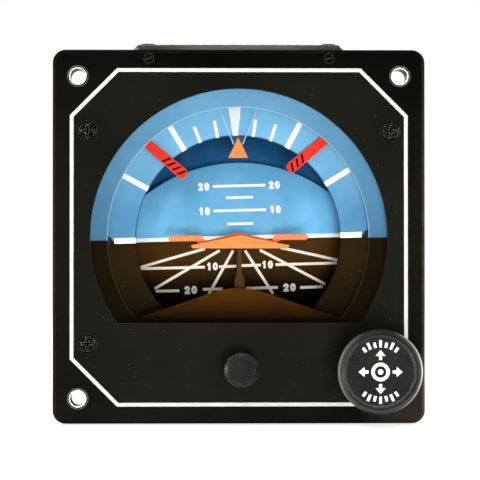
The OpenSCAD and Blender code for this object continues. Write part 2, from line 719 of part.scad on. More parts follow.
// The right half of the bars: a limb of the V, then the level tip with its round end
bar_outline = concat([bar_root, [bar_root[0] + bar_slant, bar_low_z + bar_h]],
    arc(bar_reach - bar_h / 2, bar_low_z + bar_h / 2, bar_h / 2, 90, -90, 10),
    [[bar_heel[0] + bar_heel_slant, bar_low_z], bar_heel, bar_hub]);
module command_bars() color("#e8843a") difference() {
    translate([0, 0, command_pivot_z]) rotate([0, -bar_lean, 0]) translate([0, 0, -command_pivot_z])
        slab(bar_y, bar_y + bar_t) polygon(concat([[0, bar_nose_z]], bar_outline,
            [for (p = reversed(bar_outline)) [-p[0], p[1]]]));
    rod(0, command_pivot_z, bar_y - over, bar_y + bar_t + over, command_pin_r + run_gap);
}

module meter_crank() color("#c9cacc") {
    rod(-meter_x, -meter_z, bar_y, meter_y + 3, crank_shaft_r);
    slab(bar_y, bar_y + bar_t) {
        translate([-meter_x, -meter_z - 0.7]) square([crank_len, 1.4]);
        for (x = [-meter_x, -meter_x + crank_len]) translate([x, -meter_z]) circle(1.2);
    }
    rod(-meter_x + crank_len, -meter_z, bar_y + 0.2, lift_y + lift_t, crank_pin_r);
}
module command_meter() color("#9a9b9e") translate([-meter_x, 0, -meter_z]) difference() {
    union() {
        rod(0, 0, meter_y, meter_y + meter_len - 1, meter_r);
        tapered(0, 0, meter_y + meter_len - 1, meter_y + meter_len, meter_r, meter_r - 0.8);
        rod(meter_post[0], meter_post[1], bezel_t, meter_y + 1, 1);
    }
    rod(0, 0, meter_y - over, meter_y + 3.5, crank_shaft_r + run_gap);
}

module flag(p, a) translate([p[0], 0, p[1]]) rotate([0, -a, 0]) {
    slab(flag_y, flag_y + flag_t) {
        polygon([[0, -flag_root_w / 2], [flag_len - flag_w / 2, -flag_w / 2],
            [flag_len - flag_w / 2, flag_w / 2], [0, flag_root_w / 2]]);
        translate([flag_len - flag_w / 2, 0]) circle(flag_w / 2);
        circle(flag_hub_r);
    }
    rod(0, 0, flag_y, flag_y + 1, 1.2);
    rod(0, 0, flag_y + 0.5, meter_y + 2, flag_shaft_r);
}
module left_flag() color("#f03a2e") flag(left_flag_pivot, left_flag_angle);
module right_flag() color("#f03a2e") flag(right_flag_pivot, right_flag_angle);
module flag_meters() color("#9a9b9e") for (p = [left_flag_pivot, right_flag_pivot]) translate([p[0], 0, p[1]]) difference() {
    union() {
        rod(0, 0, meter_y, meter_y + flag_meter_len, flag_meter_r);
        let (q = p * flag_post_out / norm(p)) rod(q[0], q[1], flange_y + flange_t, meter_y + 1, flag_post_r);
    }
    rod(0, 0, meter_y - over, meter_y + 2.5, flag_shaft_r + run_gap);
}

module case_shell() color("#1d1e1a") difference() {
    slab(bezel_t, case_end) difference() {
        rounded_square(case_half, case_corner_r);
        rounded_square(case_in_half, case_in_corner);
    }
    slab(lamp_slot_y, lamp_slot_y + lamp_slot_len) translate([-lamp_slot_half_w, case_in_half - over])
        square([2 * lamp_slot_half_w, case_wall + 2 * over]);
    for (a = sides) rotate([0, a, 0]) for (x = [-1, 1], y = [bezel_t + spigot_len / 2, case_end - spigot_len / 2, bulkhead_y + bulkhead_t / 2])
        translate([x * side_screw_x, y, case_in_half - over]) cylinder(r = screw_r + 0.1, h = case_wall + 2 * over);
    for (x = [-1, 1]) translate([x * lamp_cover_screw_x, lamp_screw_y, case_in_half - over])
        cylinder(r = screw_r + 0.05, h = case_wall + 2 * over);
}
// Round headed screws set square to the case's four sides, at depth y
module side_screws(y, length) for (a = sides) rotate([0, a, 0]) for (x = [-1, 1])
    translate([x * side_screw_x, y, case_half]) {
        difference() {
            intersection() {
                translate([0, 0, -1.6]) sphere(r = 2.3, $fn = 48);
                cylinder(r = 1.65, h = 2);
            }
            translate([-1.2, -0.2, 0.4]) cube([2.4, 0.4, 1]);
        }
        translate([0, 0, -length]) cylinder(r = screw_r, h = length);
    }
module case_screws() color("#3a3a36") {
    side_screws(bezel_t + spigot_len / 2, case_wall + 1.3);
    side_screws(case_end - spigot_len / 2, case_wall + 1.3);
    side_screws(bulkhead_y + bulkhead_t / 2, case_wall + 3);
    lamp_cover_screws();
}

module rear_cover() color("#1d1e1a") difference() {
    union() {
        slab(case_end, case_end + rear_t) rounded_square(case_half - 0.2, case_corner_r);
        slab(case_end - spigot_len, case_end) difference() {
            rounded_square(spigot_half, case_in_corner);
            rounded_square(spigot_in_half, spigot_in_corner);
        }
    }
    rod(signal_at[0], signal_at[1], case_end - over, case_end + rear_t + over, signal_r + 0.15);
    rod(power_at[0], power_at[1], case_end - over, case_end + rear_t + over, power_r + 0.15);
    for (a = sides) rotate([0, a, 0]) for (x = [-1, 1])
        translate([x * side_screw_x, case_end - spigot_len / 2, spigot_half - spigot_t - over])
            cylinder(r = screw_r + 0.05, h = spigot_t + 2 * over);
    for (c = connectors) translate([c[0], 0, c[1]]) four(c[3], c[3])
        rod(0, 0, case_end - over, case_end + rear_t + over, connector_screw_r + 0.05);
    for (p = board_posts) rod(p[0], p[1], case_end - over, case_end + rear_t - 1, 0.9);
}

// A round panel connector: square flange, threaded-look shell with bayonet ramps, and an insert with contacts
module connector(c) translate([c[0], 0, c[1]]) difference() {
    union() {
        slab(case_end + rear_t, case_end + rear_t + 1.6) difference() {
            square(2 * (c[3] + 2.4), center = true);
            for (x = [-1, 1], z = [-1, 1]) translate([x, z] * c[3]) circle(connector_screw_r + 0.1);
        }
        rod(0, 0, case_end - 4, case_end + rear_t + connector_len, c[2]);
        for (k = [0:3]) rod(0, 0, case_end + rear_t + 3 + 1.6 * k, case_end + rear_t + 3.8 + 1.6 * k, c[2] + 0.5);
    }
    rod(0, 0, case_end + rear_t + 2.5, case_end + rear_t + connector_len + over, c[2] - 1.1);
    translate([-0.6, case_end + rear_t + 4, c[2] - 1.6]) cube([1.2, connector_len, 1.2]);
}
module connector_ring(r, n, turn) for (k = [0:n - 1]) rotate([0, turn + 360 * k / n, 0]) translate([r, 0, 0]) children();
module contact_pin(r) {
    rod(0, 0, case_end + rear_t + 2.5, pin_end - r, r);
    tapered(0, 0, pin_end - r, pin_end, r, r * 0.4);
}
module signal_connector() color("#75736a") connector(connectors[0]);
module power_connector() color("#75736a") connector(connectors[1]);
module connector_pins() color("#cfae5c") {
    translate([signal_at[0], 0, signal_at[1]]) {
        contact_pin(0.5);
        connector_ring(signal_r * 0.34, 6, 0) contact_pin(0.5);
        connector_ring(signal_r * 0.66, 12, 15) contact_pin(0.5);
    }
    translate([power_at[0], 0, power_at[1]]) connector_ring(power_r * 0.45, 3, 30) contact_pin(0.8);
}
module connector_screws() color("#8d8b84") for (c = connectors) translate([c[0], 0, c[1]]) four(c[3], c[3])
    mirror([0, 1, 0]) screw(-case_end - rear_t - 2.5, -case_end + 0.5, 1.7, 0.9, connector_screw_r);

module lamp_cover() color("#23241f") difference() {
    slab(lamp_cover_y, lamp_cover_y + lamp_cover_len) polygon([[-lamp_cover_w / 2, case_half],
        [lamp_cover_w / 2, case_half], [lamp_cover_w / 2, lamp_cover_shoulder],
        [lamp_cover_w / 2 - lamp_cover_slope, lamp_cover_top],
        [lamp_cover_slope - lamp_cover_w / 2, lamp_cover_top], [-lamp_cover_w / 2, lamp_cover_shoulder]]);
    translate([-lamp_room_half_w, lamp_cover_y + 1.2, case_half - over])
        cube([2 * lamp_room_half_w, lamp_cover_len - 2.4, lamp_cover_top - case_half + over - 1.2]);
    for (x = [-1, 1]) translate([x * lamp_cover_screw_x, lamp_screw_y, case_half - over])
        cylinder(r = screw_r + 0.1, h = lamp_cover_top - case_half + 2 * over);
}
module lamp_cover_screws() for (x = [-1, 1]) translate([x * lamp_cover_screw_x, lamp_screw_y, lamp_cover_top]) {
    difference() {
        cylinder(r1 = 1.9, r2 = 1.6, h = 0.45);
        translate([-1.3, -0.2, 0.2]) cube([2.6, 0.4, 1]);
    }
    translate([0, 0, case_in_half - lamp_cover_top]) cylinder(r = screw_r, h = lamp_cover_top - case_in_half);
}
module lamp_bar() color("#8f9094") difference() {
    union() {
        translate([fit_gap - lamp_slot_half_w, lamp_slot_y + fit_gap, case_in_half])
            cube([2 * (lamp_slot_half_w - fit_gap), lamp_slot_len - 2 * fit_gap, case_wall]);
        translate([-lamp_slot_half_w - 1, lamp_slot_y - 1, case_half])
            cube([2 * lamp_slot_half_w + 2, lamp_slot_len + 2, 1.2]);
    }
    for (x = [-1:1]) translate([x * lamp_pitch, lamp_y, case_in_half - over]) cylinder(r = lamp_r + 0.02, h = 2 + over);
}
module lamps() color("#f3e6c0") for (x = [-1:1]) translate([x * lamp_pitch, lamp_y, case_in_half - 2.4]) {
    cylinder(r = lamp_r, h = 4.4);
    sphere(r = lamp_r, $fn = 32);
}

module bearing_bulkhead() color("#8f9094") difference() {
    union() {
        slab(bulkhead_y, bulkhead_y + bulkhead_t) rounded_square(case_in_half - fit_gap, case_in_corner);
        rod(0, 0, bulkhead_y - 0.5, boss_end, boss_r);
        for (a = [45:90:315]) rotate([0, a, 0]) slab(bulkhead_y, boss_end - 6)
            translate([boss_r - 1, -1]) square([14, 2]);
        for (z = lever_lugs) translate([lever_x - 3, bulkhead_y + bulkhead_t - 0.1, z]) cube([6, lever_y - bulkhead_y - bulkhead_t + 3.1, lug_t]);
    }
    rod(0, 0, bulkhead_y - over, bearing_y + 2 * roll_bearing_t + bearing_gap + 2 * over, roll_bearing_r + 0.02);
    rod(pull_x, -knob_z, bulkhead_y - over, bulkhead_y + bulkhead_t + over, pull_shaft_r + 0.4);
    for (p = bulkhead_windows) rod(p[0], p[1], bulkhead_y - over, bulkhead_y + bulkhead_t + over, 6);
    translate([lever_x, lever_y, lever_lugs[0] - over]) cylinder(r = lever_r + run_gap, h = lever_lugs[1] - lever_lugs[0] + 3 * over);
    for (a = sides) rotate([0, a, 0]) for (x = [-1, 1])
        translate([x * side_screw_x, bulkhead_y + bulkhead_t / 2, case_in_half - 4]) cylinder(r = screw_r + 0.05, h = 4 + over);
}

// A ball bearing as one closed ring with its race gap as a groove on each face
module bearing_profile(bore, r, t) difference() {
    translate([bore, 0]) square([r - bore, t]);
    for (y = [-0.01, t - 0.39]) translate([bore + (r - bore) * 0.38, y]) square([(r - bore) * 0.24, 0.4]);
}
module roll_bearings() color("#c9cacc") for (k = [0, 1])
    turned() translate([0, bearing_y + k * (roll_bearing_t + bearing_gap)]) bearing_profile(roll_shaft_r + run_gap, roll_bearing_r, roll_bearing_t);

module brush_block() color("#6d3b1e") {
    translate([boss_r + 1.5, bulkhead_y + bulkhead_t, brush_z - 3.2]) cube([5, roll_shaft_end - bulkhead_y - bulkhead_t, 7]);
    for (k = [0:slip_ring_count - 1])
        rod_x(-1.5, boss_r + 2, ring_stack_y + (k + 0.5) * slip_ring_step, brush_z, brush_r, $fn = 16);
}
module rod_x(x0, x1, y, z, r) translate([x0, y, z]) rotate([0, 90, 0]) cylinder(r = r, h = x1 - x0);

module amplifier_board() color("#2f6b3c") difference() {
    union() {
        slab(board_y, board_y + board_t) rounded_square(board_half, board_corner_r);
        for (x = board_part_x, z = board_part_z)
            translate([x - board_part[0] / 2, board_y + board_t, z - board_part[2] / 2]) cube(board_part);
    }
    for (p = board_posts) rod(p[0], p[1], board_y - over, board_y + board_t + over, 1);
}
module board_pillars() color("#b9babd") for (p = board_posts) {
    rod(p[0], p[1], board_y + board_t, case_end, 2);
    rod(p[0], p[1], board_y - 0.8, case_end + 1, 0.85);
}

module roll_yoke() color("#a3a4a6") banked() difference() {
    union() {
        for (s = [-1, 1]) translate([s > 0 ? arm_in : -arm_out, 0, 0]) rotate([90, 0, 90]) linear_extrude(arm_t) polygon([
            [ring_back, -arm_front_h / 2], [pitch_axis_y - 16, -arm_h / 2], [pitch_axis_y + 16, -arm_h / 2], [web_back, -web_h / 2],
            [web_back, web_h / 2], [pitch_axis_y + 16, arm_h / 2], [pitch_axis_y - 16, arm_h / 2], [ring_back, arm_front_h / 2]]);
        slab(web_y, web_back) difference() {
            intersection() { square([2 * arm_in + 0.2, web_h], center = true); circle(arm_out); }
            for (x = [-1, 1]) translate([x * 19, 0]) circle(web_h / 2 - 3.5);
        }
    }
    rod(0, 0, web_y - over, web_back + over, 2.5);
    for (s = [-1, 1]) {
        translate([s * (arm_in + arm_t / 2), pitch_axis_y, 0]) rotate([0, 90, 0]) cylinder(r = pitch_bearing_r + 0.01, h = arm_t + 1, center = true);
        rod(s * ring_screw_x, 0, ring_back - over, ring_back + 4, ring_screw_shank + 0.05);
        for (y = [-13, 13]) translate([s * (arm_in + arm_t / 2), pitch_axis_y + y, 0]) rotate([0, 90, 0]) cylinder(r = 3.4, h = arm_t + 1, center = true);
    }
    gimbal_bolts() rod(0, 0, web_y - over, web_back + over, shaft_screw_r + 0.05);
}
module roll_shaft() color("#b9babd") banked() difference() {
    turned() polygon([[wire_bore_r, web_back], [shaft_flange_r, web_back], [shaft_flange_r, web_back + shaft_flange_t],
        [shaft_shoulder_r, web_back + shaft_flange_t], [shaft_shoulder_r, bearing_y - 0.3],
        [roll_shaft_r, bearing_y - 0.3], [roll_shaft_r, cage_collar_y], [roll_shaft_r + 5, cage_collar_y],
        [roll_shaft_r + 5, cage_collar_y + 1.2], [ring_core_r, cage_collar_y + 1.2],
        [ring_core_r, roll_shaft_end], [wire_bore_r, roll_shaft_end]]);
    gimbal_bolts() rod(0, 0, web_back - over, web_back + shaft_flange_t + over, shaft_screw_r + 0.1);
}
module gimbal_bolts() for (k = [0:2]) rotate([0, 120 * k + 90, 0]) translate([shaft_bolt_circle, 0, 0]) children();
module slip_rings() color("#c8963e") turned() {
    for (k = [0:slip_ring_count - 1])
        translate([ring_sleeve_r, ring_stack_y + (k + 0.5) * slip_ring_step - slip_ring_t / 2])
            square([slip_ring_r - ring_sleeve_r, slip_ring_t]);
    translate([ring_core_r + 0.01, ring_stack_y - 0.3])
        square([ring_sleeve_r - ring_core_r - 0.01, slip_ring_count * slip_ring_step + 0.6]);
}
module bank_ring() color("#6fa9d2") banked() difference() {
    slab(bank_ring_y, ring_back) difference() {
        circle(bank_ring_outer_r);
        circle(bank_ring_r);
    }
    for (s = [-1, 1]) {
        rod(s * ring_screw_x, 0, bank_ring_y - over, ring_back + over, ring_screw_shank + 0.05);
        rod(s * ring_screw_x, 0, bank_ring_y - over, bank_ring_y + ring_screw_sink, ring_screw_head + 0.05);
    }
}
module gimbal_screws() color("#121210") banked() {
    for (s = [-1, 1]) translate([s * ring_screw_x, 0, 0])
        screw(bank_ring_y + 0.1, ring_back + 3.5, ring_screw_head, ring_screw_sink - 0.1, ring_screw_shank);
    gimbal_bolts() mirror([0, 1, 0])
        screw(-web_back - shaft_flange_t - 0.8, -web_y - 0.5, shaft_bolt_head, 0.8, shaft_screw_r);
}
module pitch_bearings() color("#c9cacc") banked() about_pitch_axis() for (s = [-1, 1])
    translate([0, 0, s > 0 ? arm_in : -arm_out]) rotate_extrude() bearing_profile(pivot_r + run_gap, pitch_bearing_r, arm_t);

module gyro_housing() color("#8c8d90") banked() translate([0, pitch_axis_y, 0]) difference() {
    union() {
        translate([0, 0, -housing_h / 2]) cylinder(r = housing_r, h = housing_h - housing_cap_t);
        for (s = [-1, 1]) rotate([0, s * 90, 0]) cylinder(r = 5, h = pivot_inner);
    }
    translate([0, 0, -housing_h / 2 + housing_wall]) cylinder(r = housing_r - housing_wall, h = housing_h);
    translate([0, 0, -housing_h / 2 - over]) cylinder(r = rotor_bearing_r + 0.01, h = housing_wall + 2 * over);
    for (s = [-1, 1]) rotate([0, s * 90, 0]) translate([0, 0, housing_r - pivot_depth - 0.4])
        cylinder(r = pivot_r + 0.01, h = pivot_inner - housing_r + pivot_depth + 0.4 + over);
}
module housing_cap() color("#96979a") banked() translate([0, pitch_axis_y, housing_h / 2 - housing_cap_t]) difference() {
    union() {
        cylinder(r = housing_r, h = housing_cap_t);
        translate([0, 0, housing_cap_t - 0.01]) cylinder(r1 = 9, r2 = 7.5, h = 1.6);
    }
    translate([0, 0, -over]) cylinder(r = rotor_bearing_r + 0.01, h = housing_cap_t + 2 * over + 2);
    for (a = [30:60:330]) rotate(a) translate([housing_r - 2.6, 0, housing_cap_t - 0.6]) cylinder(r = 1.2, h = over);
}
module pitch_pivots() color("#c9cacc") banked() translate([0, pitch_axis_y, 0]) for (s = [-1, 1]) rotate([0, s * 90, 0])
    translate([0, 0, housing_r - pivot_depth]) cylinder(r = pivot_r, h = arm_out - housing_r + pivot_depth);
module rotor_bearings() color("#c9cacc") banked() translate([0, pitch_axis_y, 0]) {
    translate([0, 0, -housing_h / 2]) rotate_extrude() bearing_profile(rotor_shaft_r + run_gap, rotor_bearing_r, housing_wall);
    translate([0, 0, housing_h / 2 - housing_cap_t]) rotate_extrude() bearing_profile(rotor_shaft_r + run_gap, rotor_bearing_r, housing_cap_t);
}
module erector() color("#a98e57") banked() translate([0, pitch_axis_y, -housing_h / 2 - erector_t]) difference() {
    union() {
        cylinder(r1 = erector_r - 1, r2 = erector_r, h = 1);
        translate([0, 0, 1]) cylinder(r = erector_r, h = erector_t - 1);
    }
    translate([0, 0, -over]) cylinder(r = 3.4, h = erector_t + 2 * over);
    for (a = [0:60:300]) rotate(a) translate([erector_r - 4, 0, -over]) cylinder(r = 1.8, h = erector_t - 1 + over);
}
module stator() color("#7a4a2c") banked() translate([0, pitch_axis_y, 0]) difference() {
    union() {
        translate([0, 0, -housing_h / 2 + housing_wall]) cylinder(r = 6.5, h = 2.2);
        translate([0, 0, -5]) cylinder(r = stator_r, h = 10);
        translate([0, 0, -housing_h / 2 + housing_wall]) cylinder(r = 4.2, h = housing_h / 2 - housing_wall);
    }
    translate([0, 0, -housing_h / 2]) cylinder(r = rotor_shaft_r + 0.6, h = housing_h);
    for (a = [0:60:300]) rotate(a) translate([stator_r - 2.2, -0.7, -6]) cube([4, 1.4, 12]);
}
module rotor() color("#b8863a") banked() translate([0, pitch_axis_y, 0]) {
    rotate_extrude() polygon([[0, -housing_h / 2 - 1.2], [rotor_shaft_r, -housing_h / 2 - 1.2], [rotor_shaft_r, rotor_h / 2 - 2.4],
        [stator_r + 1.4, rotor_h / 2 - 2.4], [stator_r + 1.4, -rotor_h / 2], [rotor_r, -rotor_h / 2], [rotor_r, rotor_h / 2],
        [5, rotor_h / 2], [3.6, rotor_h / 2 + 2.6], [rotor_shaft_r, rotor_h / 2 + 2.6], [rotor_shaft_r, housing_h / 2 + 1], [0, housing_h / 2 + 1]]);
}

// A band of the ball between two radii, from one pitch angle to another
module ball_band(r0, r1, a0, a1) about_pitch_axis() rotate(270 - a1) rotate_extrude(angle = a1 - a0) intersection() {
    difference() { circle(r1, $fn = 180); circle(r0, $fn = 180); }
    translate([0, -dial_half_w]) square([2 * r1, 2 * dial_half_w]);
}
module ball_upper() color("#20486c") banked() {
    ball_band(ball_r - ball_wall, ball_r, horizon_gap, ball_span);
    ball_posts(1);
}
module ball_lower() color("#33230f") banked() {
    ball_band(ball_r - ball_wall, ball_r, -ball_span, -horizon_gap);
    ball_posts(-1);
}
// The webs that carry a ball half on the gyro housing's trunnions
module ball_posts(s) for (x = [-1, 1])
    translate([x * (pivot_inner + ball_side_t / 2), pitch_axis_y, 0]) rotate([0, 90, 0])
        linear_extrude(ball_side_t, center = true) difference() {
            intersection() {
                circle(sqrt(pow(ball_r - ball_wall / 2, 2) - pow(dial_half_w, 2)));
                translate([s > 0 ? -ball_r : horizon_gap, -ball_r]) square([ball_r - horizon_gap, 2 * ball_r]);
            }
            circle(pivot_r + 0.5);
        }
module pitch_dial() color("#7dc1e3") banked() intersection() {
    ball_band(dial_r - dial_t, dial_r, -80, 80);
    slab(0, pitch_axis_y) intersection() {
        translate([0, -dial_lens]) circle(dial_arc_r, $fn = 180);
        translate([0, dial_lens]) circle(dial_arc_r, $fn = 180);
    }
}

module pull_knob() color("#20211b") difference() {
    turned(pull_x, -knob_z) polygon(concat([[0, pull_front + pull_face_sink], [pull_face_r, pull_front + pull_face_sink],
        [pull_face_r + 0.15, pull_front + pull_face_sink + 0.5],
        [pull_knob_r - 2 * pull_rim, pull_front + pull_face_sink + 0.5]],
        arc(pull_knob_r - pull_rim, pull_front + pull_rim, pull_rim, 180, 360, 12),
        [[pull_knob_r, pull_front + 3.2], [pull_knob_r - 0.9, pull_front + 6], [pull_knob_r - 2.6, pull_front + 8.6],
        [5.2, pull_front + 10.4], [4.6, pull_back], [0, pull_back]]));
    rod(pull_x, -knob_z, pull_front + 4, pull_back + over, pull_shaft_r);
    translate([pull_x, pull_back - 1.6, -knob_z - 6]) cylinder(r = 0.9, h = 5);
}
module pull_shaft() color("#b9babd") {
    rod(pull_x, -knob_z, pull_front + 4, pull_end, pull_shaft_r);
    for (y = [lever_y - finger_r - finger_play - pull_collar_t, lever_y + finger_r + finger_play])
        rod(pull_x, -knob_z, y, y + pull_collar_t, pull_collar_r);
    rod(pull_x, -knob_z, spring_y + spring_len + pull_travel + 1, spring_y + spring_len + pull_travel + 2.4, pull_collar_r);
}
function coil_point(t) = let (a = 360 * spring_turns * t)
    [spring_r * cos(a), spring_y + spring_wire / 2 + (spring_len - spring_wire) * t, spring_r * sin(a)];
module return_spring() color("#c9cacc") translate([pull_x, 0, -knob_z]) tube([for (i = [0:spring_turns * 14]) coil_point(i / (spring_turns * 14))], spring_wire / 2, 6);
module tube(path, r, sides) {
    n = len(path) - 1;
    function along(i) = let (d = path[min(i + 1, n)] - path[max(i - 1, 0)]) d / norm(d);
    function across(i) = let (c = cross(along(i), [0, 1, 0])) c / norm(c);
    polyhedron(points = [for (i = [0:n]) let (u = across(i), v = cross(along(i), u)) for (k = [0:sides - 1])
            path[i] + r * (cos(360 * k / sides) * u + sin(360 * k / sides) * v)],
        faces = concat([[for (k = [0:sides - 1]) k]], [[for (k = [sides - 1:-1:0]) n * sides + k]],
            [for (i = [0:n - 1], k = [0:sides - 1]) let (m = (k + 1) % sides)
                each [[i * sides + k, (i + 1) * sides + k, (i + 1) * sides + m], [i * sides + k, (i + 1) * sides + m, i * sides + m]]]));
}

module cage_lever() color("#9a9b9e") {
    translate([lever_x, lever_y, lever_arm_z]) cylinder(r = lever_r, h = cage_finger_z + 2 - lever_arm_z);
    translate([lever_x, lever_y, lever_arm_z]) linear_extrude(2) {
        translate([0, -1.6]) square([lever_arm, 3.2]);
        circle(3);
        translate([lever_arm, 0]) circle(1.8);
    }
    translate([pull_x, lever_y, -knob_z + pull_shaft_r + 0.3]) cylinder(r = finger_r, h = 3);
    translate([lever_x, lever_y, cage_finger_z]) linear_extrude(2) {
        circle(3);
        translate([roll_shaft_r + 1.4 - lever_x, -1]) square([lever_x - roll_shaft_r - 1.4, 2]);
    }
}

bezel();
mounting_sleeves();
bezel_outline();
mask_plate();
mask_screws();
window_gasket();
window_glass();
surround();
frame_screws();
lower_mask();
index_carrier();
roll_index();
shaft_bushes();
slide_frame();
guide_rods();
case_shell();
case_screws();
rear_cover();
lamp_cover();
lamp_bar();
lamps();
signal_connector();
power_connector();
connector_pins();
connector_screws();
bearing_bulkhead();
roll_bearings();
brush_block();
amplifier_board();
board_pillars();
flag_meters();
command_meter();
return_spring();
meter_crank();
command_lift();
command_bars();
adjust_knob();
adjust_shaft();
airplane_symbol();
left_flag();
right_flag();
pull_knob();
pull_shaft();
cage_lever();
roll_yoke();
roll_shaft();
gimbal_screws();
slip_rings();
bank_ring();
pitch_bearings();
gyro_housing();
housing_cap();
pitch_pivots();
rotor_bearings();
erector();
stator();
ball_upper();
ball_lower();
pitch_dial();
rotor();
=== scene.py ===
# Flight director indicator: paint, marks, finishes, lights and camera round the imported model.
# The frame is in metres; sizes in the dictionaries below are millimetres unless they say otherwise.
import math
import bpy
from mathutils import Matrix, Vector


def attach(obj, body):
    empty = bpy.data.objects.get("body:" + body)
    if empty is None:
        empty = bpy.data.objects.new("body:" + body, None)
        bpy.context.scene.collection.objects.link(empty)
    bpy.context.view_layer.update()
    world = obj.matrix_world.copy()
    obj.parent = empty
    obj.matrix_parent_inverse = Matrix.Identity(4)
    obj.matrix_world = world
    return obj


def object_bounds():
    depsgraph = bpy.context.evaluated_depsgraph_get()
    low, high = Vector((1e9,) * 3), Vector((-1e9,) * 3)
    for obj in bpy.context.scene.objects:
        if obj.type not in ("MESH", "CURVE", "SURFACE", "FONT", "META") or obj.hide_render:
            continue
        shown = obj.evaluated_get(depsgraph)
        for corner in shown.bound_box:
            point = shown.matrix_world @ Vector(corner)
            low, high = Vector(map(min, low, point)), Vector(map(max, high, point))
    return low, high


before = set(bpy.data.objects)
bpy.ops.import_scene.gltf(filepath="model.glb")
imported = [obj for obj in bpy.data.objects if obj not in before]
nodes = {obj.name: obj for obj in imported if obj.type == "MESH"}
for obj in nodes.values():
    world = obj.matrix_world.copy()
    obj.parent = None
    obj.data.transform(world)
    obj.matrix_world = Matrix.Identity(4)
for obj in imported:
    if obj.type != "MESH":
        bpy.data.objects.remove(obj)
cadBox = [list(corner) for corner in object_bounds()]
mm = 0.001
print("frame loaded, nodes:", len(nodes))

camera = {
    "stand": (-9.73, -500.0, -6.01),
    "yaw": 1.14, "pitch": 0.615, "roll": -0.017,   # degrees
    "lens": 162.7,
}
studio = {
    "floorDrop": 0.25,   # gap between the bezel's foot and the floor
    "paper": (0.78, 0.84), "paperGlow": 0.62,   # the floor's white, and how much of it is its own
    "ambient": 0.5, "room": (0.1, 0.9),   # light on matt parts, and what polished ones see before and behind
    # each lamp: where it stands, what it points at, its width and its watts
    "lamps": {
        "frontLamp": ((70, -820, -190), (0, 10, 0), 240, 4.3),
        "keyLamp": ((-380, -620, 480), (0, 10, 0), 420, 1.95),
        "fillLamp": ((420, -760, 60), (0, 10, 0), 520, 1.4),
        "topLamp": ((0, 60, 700), (0, 60, 0), 420, 1.2),
        # the next two are level with the front, so they catch the knobs' rims and not the dial
        "leftLamp": ((-600, 10, -30), (0, 10, -30), 160, 1.8),
        "rightLamp": ((600, 10, -30), (0, 10, -30), 160, 6.0),
        "rearLampLeft": ((-560, 620, 360), (0, 90, 0), 420, 2.4),
        "rearLampRight": ((520, 680, 240), (0, 90, 0), 420, 2.4),
    },
}


def placeCamera():
    yaw, pitch, roll = (math.radians(camera[name]) for name in ("yaw", "pitch", "roll"))
    ahead = Vector((math.sin(yaw) * math.cos(pitch), math.cos(yaw) * math.cos(pitch), math.sin(pitch)))
    right = Vector((math.cos(yaw), -math.sin(yaw), 0))
    up = right.cross(ahead)
    tiltedRight = right * math.cos(roll) + up * math.sin(roll)
    tiltedUp = up * math.cos(roll) - right * math.sin(roll)
    data = bpy.data.cameras.new("camera")
    data.lens = camera["lens"]
    data.clip_start = 0.01
    eye = bpy.data.objects.new("camera", data)
    bpy.context.scene.collection.objects.link(eye)
    turn = Matrix((tiltedRight, tiltedUp, -ahead)).transposed().to_4x4()
    eye.matrix_world = Matrix.Translation(Vector(camera["stand"]) * mm) @ turn
    bpy.context.scene.camera = eye


def addNode(tree, kind, settings=None):
    # a setting that is a node or a socket is linked, and any other is set
    node = tree.nodes.new("ShaderNode" + kind)
    for key, value in (settings or {}).items():
        if isinstance(value, bpy.types.Node):
            value = next(socket for socket in value.outputs if socket.enabled)
        if isinstance(value, bpy.types.NodeSocket):
            tree.links.new(value, node.inputs[key])
        elif isinstance(key, int) or key in node.inputs:
            node.inputs[key].default_value = value
        else:
            setattr(node, key, value)
    return node


def fromHex(code):
    channels = [int(code[i:i + 2], 16) / 255 for i in (1, 3, 5)]
    return (*(c / 12.92 if c <= 0.04045 else ((c + 0.055) / 1.055) ** 2.4 for c in channels), 1)


def perMm(size):
    # noise scale whose features are this many millimetres, since object space is in metres
    return 1000 / size


def newMaterial(name):
    material = bpy.data.materials.new(name)
    material.use_nodes = True
    material.node_tree.nodes.clear()
    return material, material.node_tree


def areaLamp(name, spot, aim, size, watts):
    data = bpy.data.lights.new(name, "AREA")
    data.size, data.energy = size * mm, watts
    lamp = bpy.data.objects.new(name, data)
    bpy.context.scene.collection.objects.link(lamp)
    look = (Vector(aim) - Vector(spot)).to_track_quat("-Z", "Y")
    lamp.matrix_world = Matrix.Translation(Vector(spot) * mm) @ look.to_matrix().to_4x4()


def makeWorld():
    # polished parts see a pale room above and behind, and a dim one on the camera's side
    world = bpy.data.worlds.new("studio")
    bpy.context.scene.world = world
    world.use_nodes = True
    tree = world.node_tree
    tree.nodes.clear()
    path = addNode(tree, "LightPath").outputs
    way = addNode(tree, "SeparateXYZ", {0: addNode(tree, "TexCoord").outputs["Generated"]})
    near, far = studio["room"]
    dimSide = addNode(tree, "MapRange", {0: way.outputs["Y"], 1: -1.0, 2: 0.2, 3: near, 4: far})
    polished, direct, through = path["Is Glossy Ray"], path["Is Camera Ray"], path["Is Transmission Ray"]
    lit = addNode(tree, "Mix", {"data_type": "FLOAT", 0: polished, 2: studio["ambient"], 3: dimSide})
    seen = addNode(tree, "Math", {"operation": "MAXIMUM", 0: direct, 1: through})
    strength = addNode(tree, "Mix", {"data_type": "FLOAT", 0: seen, 2: lit, 3: 1.0})
    glow = addNode(tree, "Background", {"Color": (1, 1, 1, 1), "Strength": strength})
    addNode(tree, "OutputWorld", {"Surface": glow})


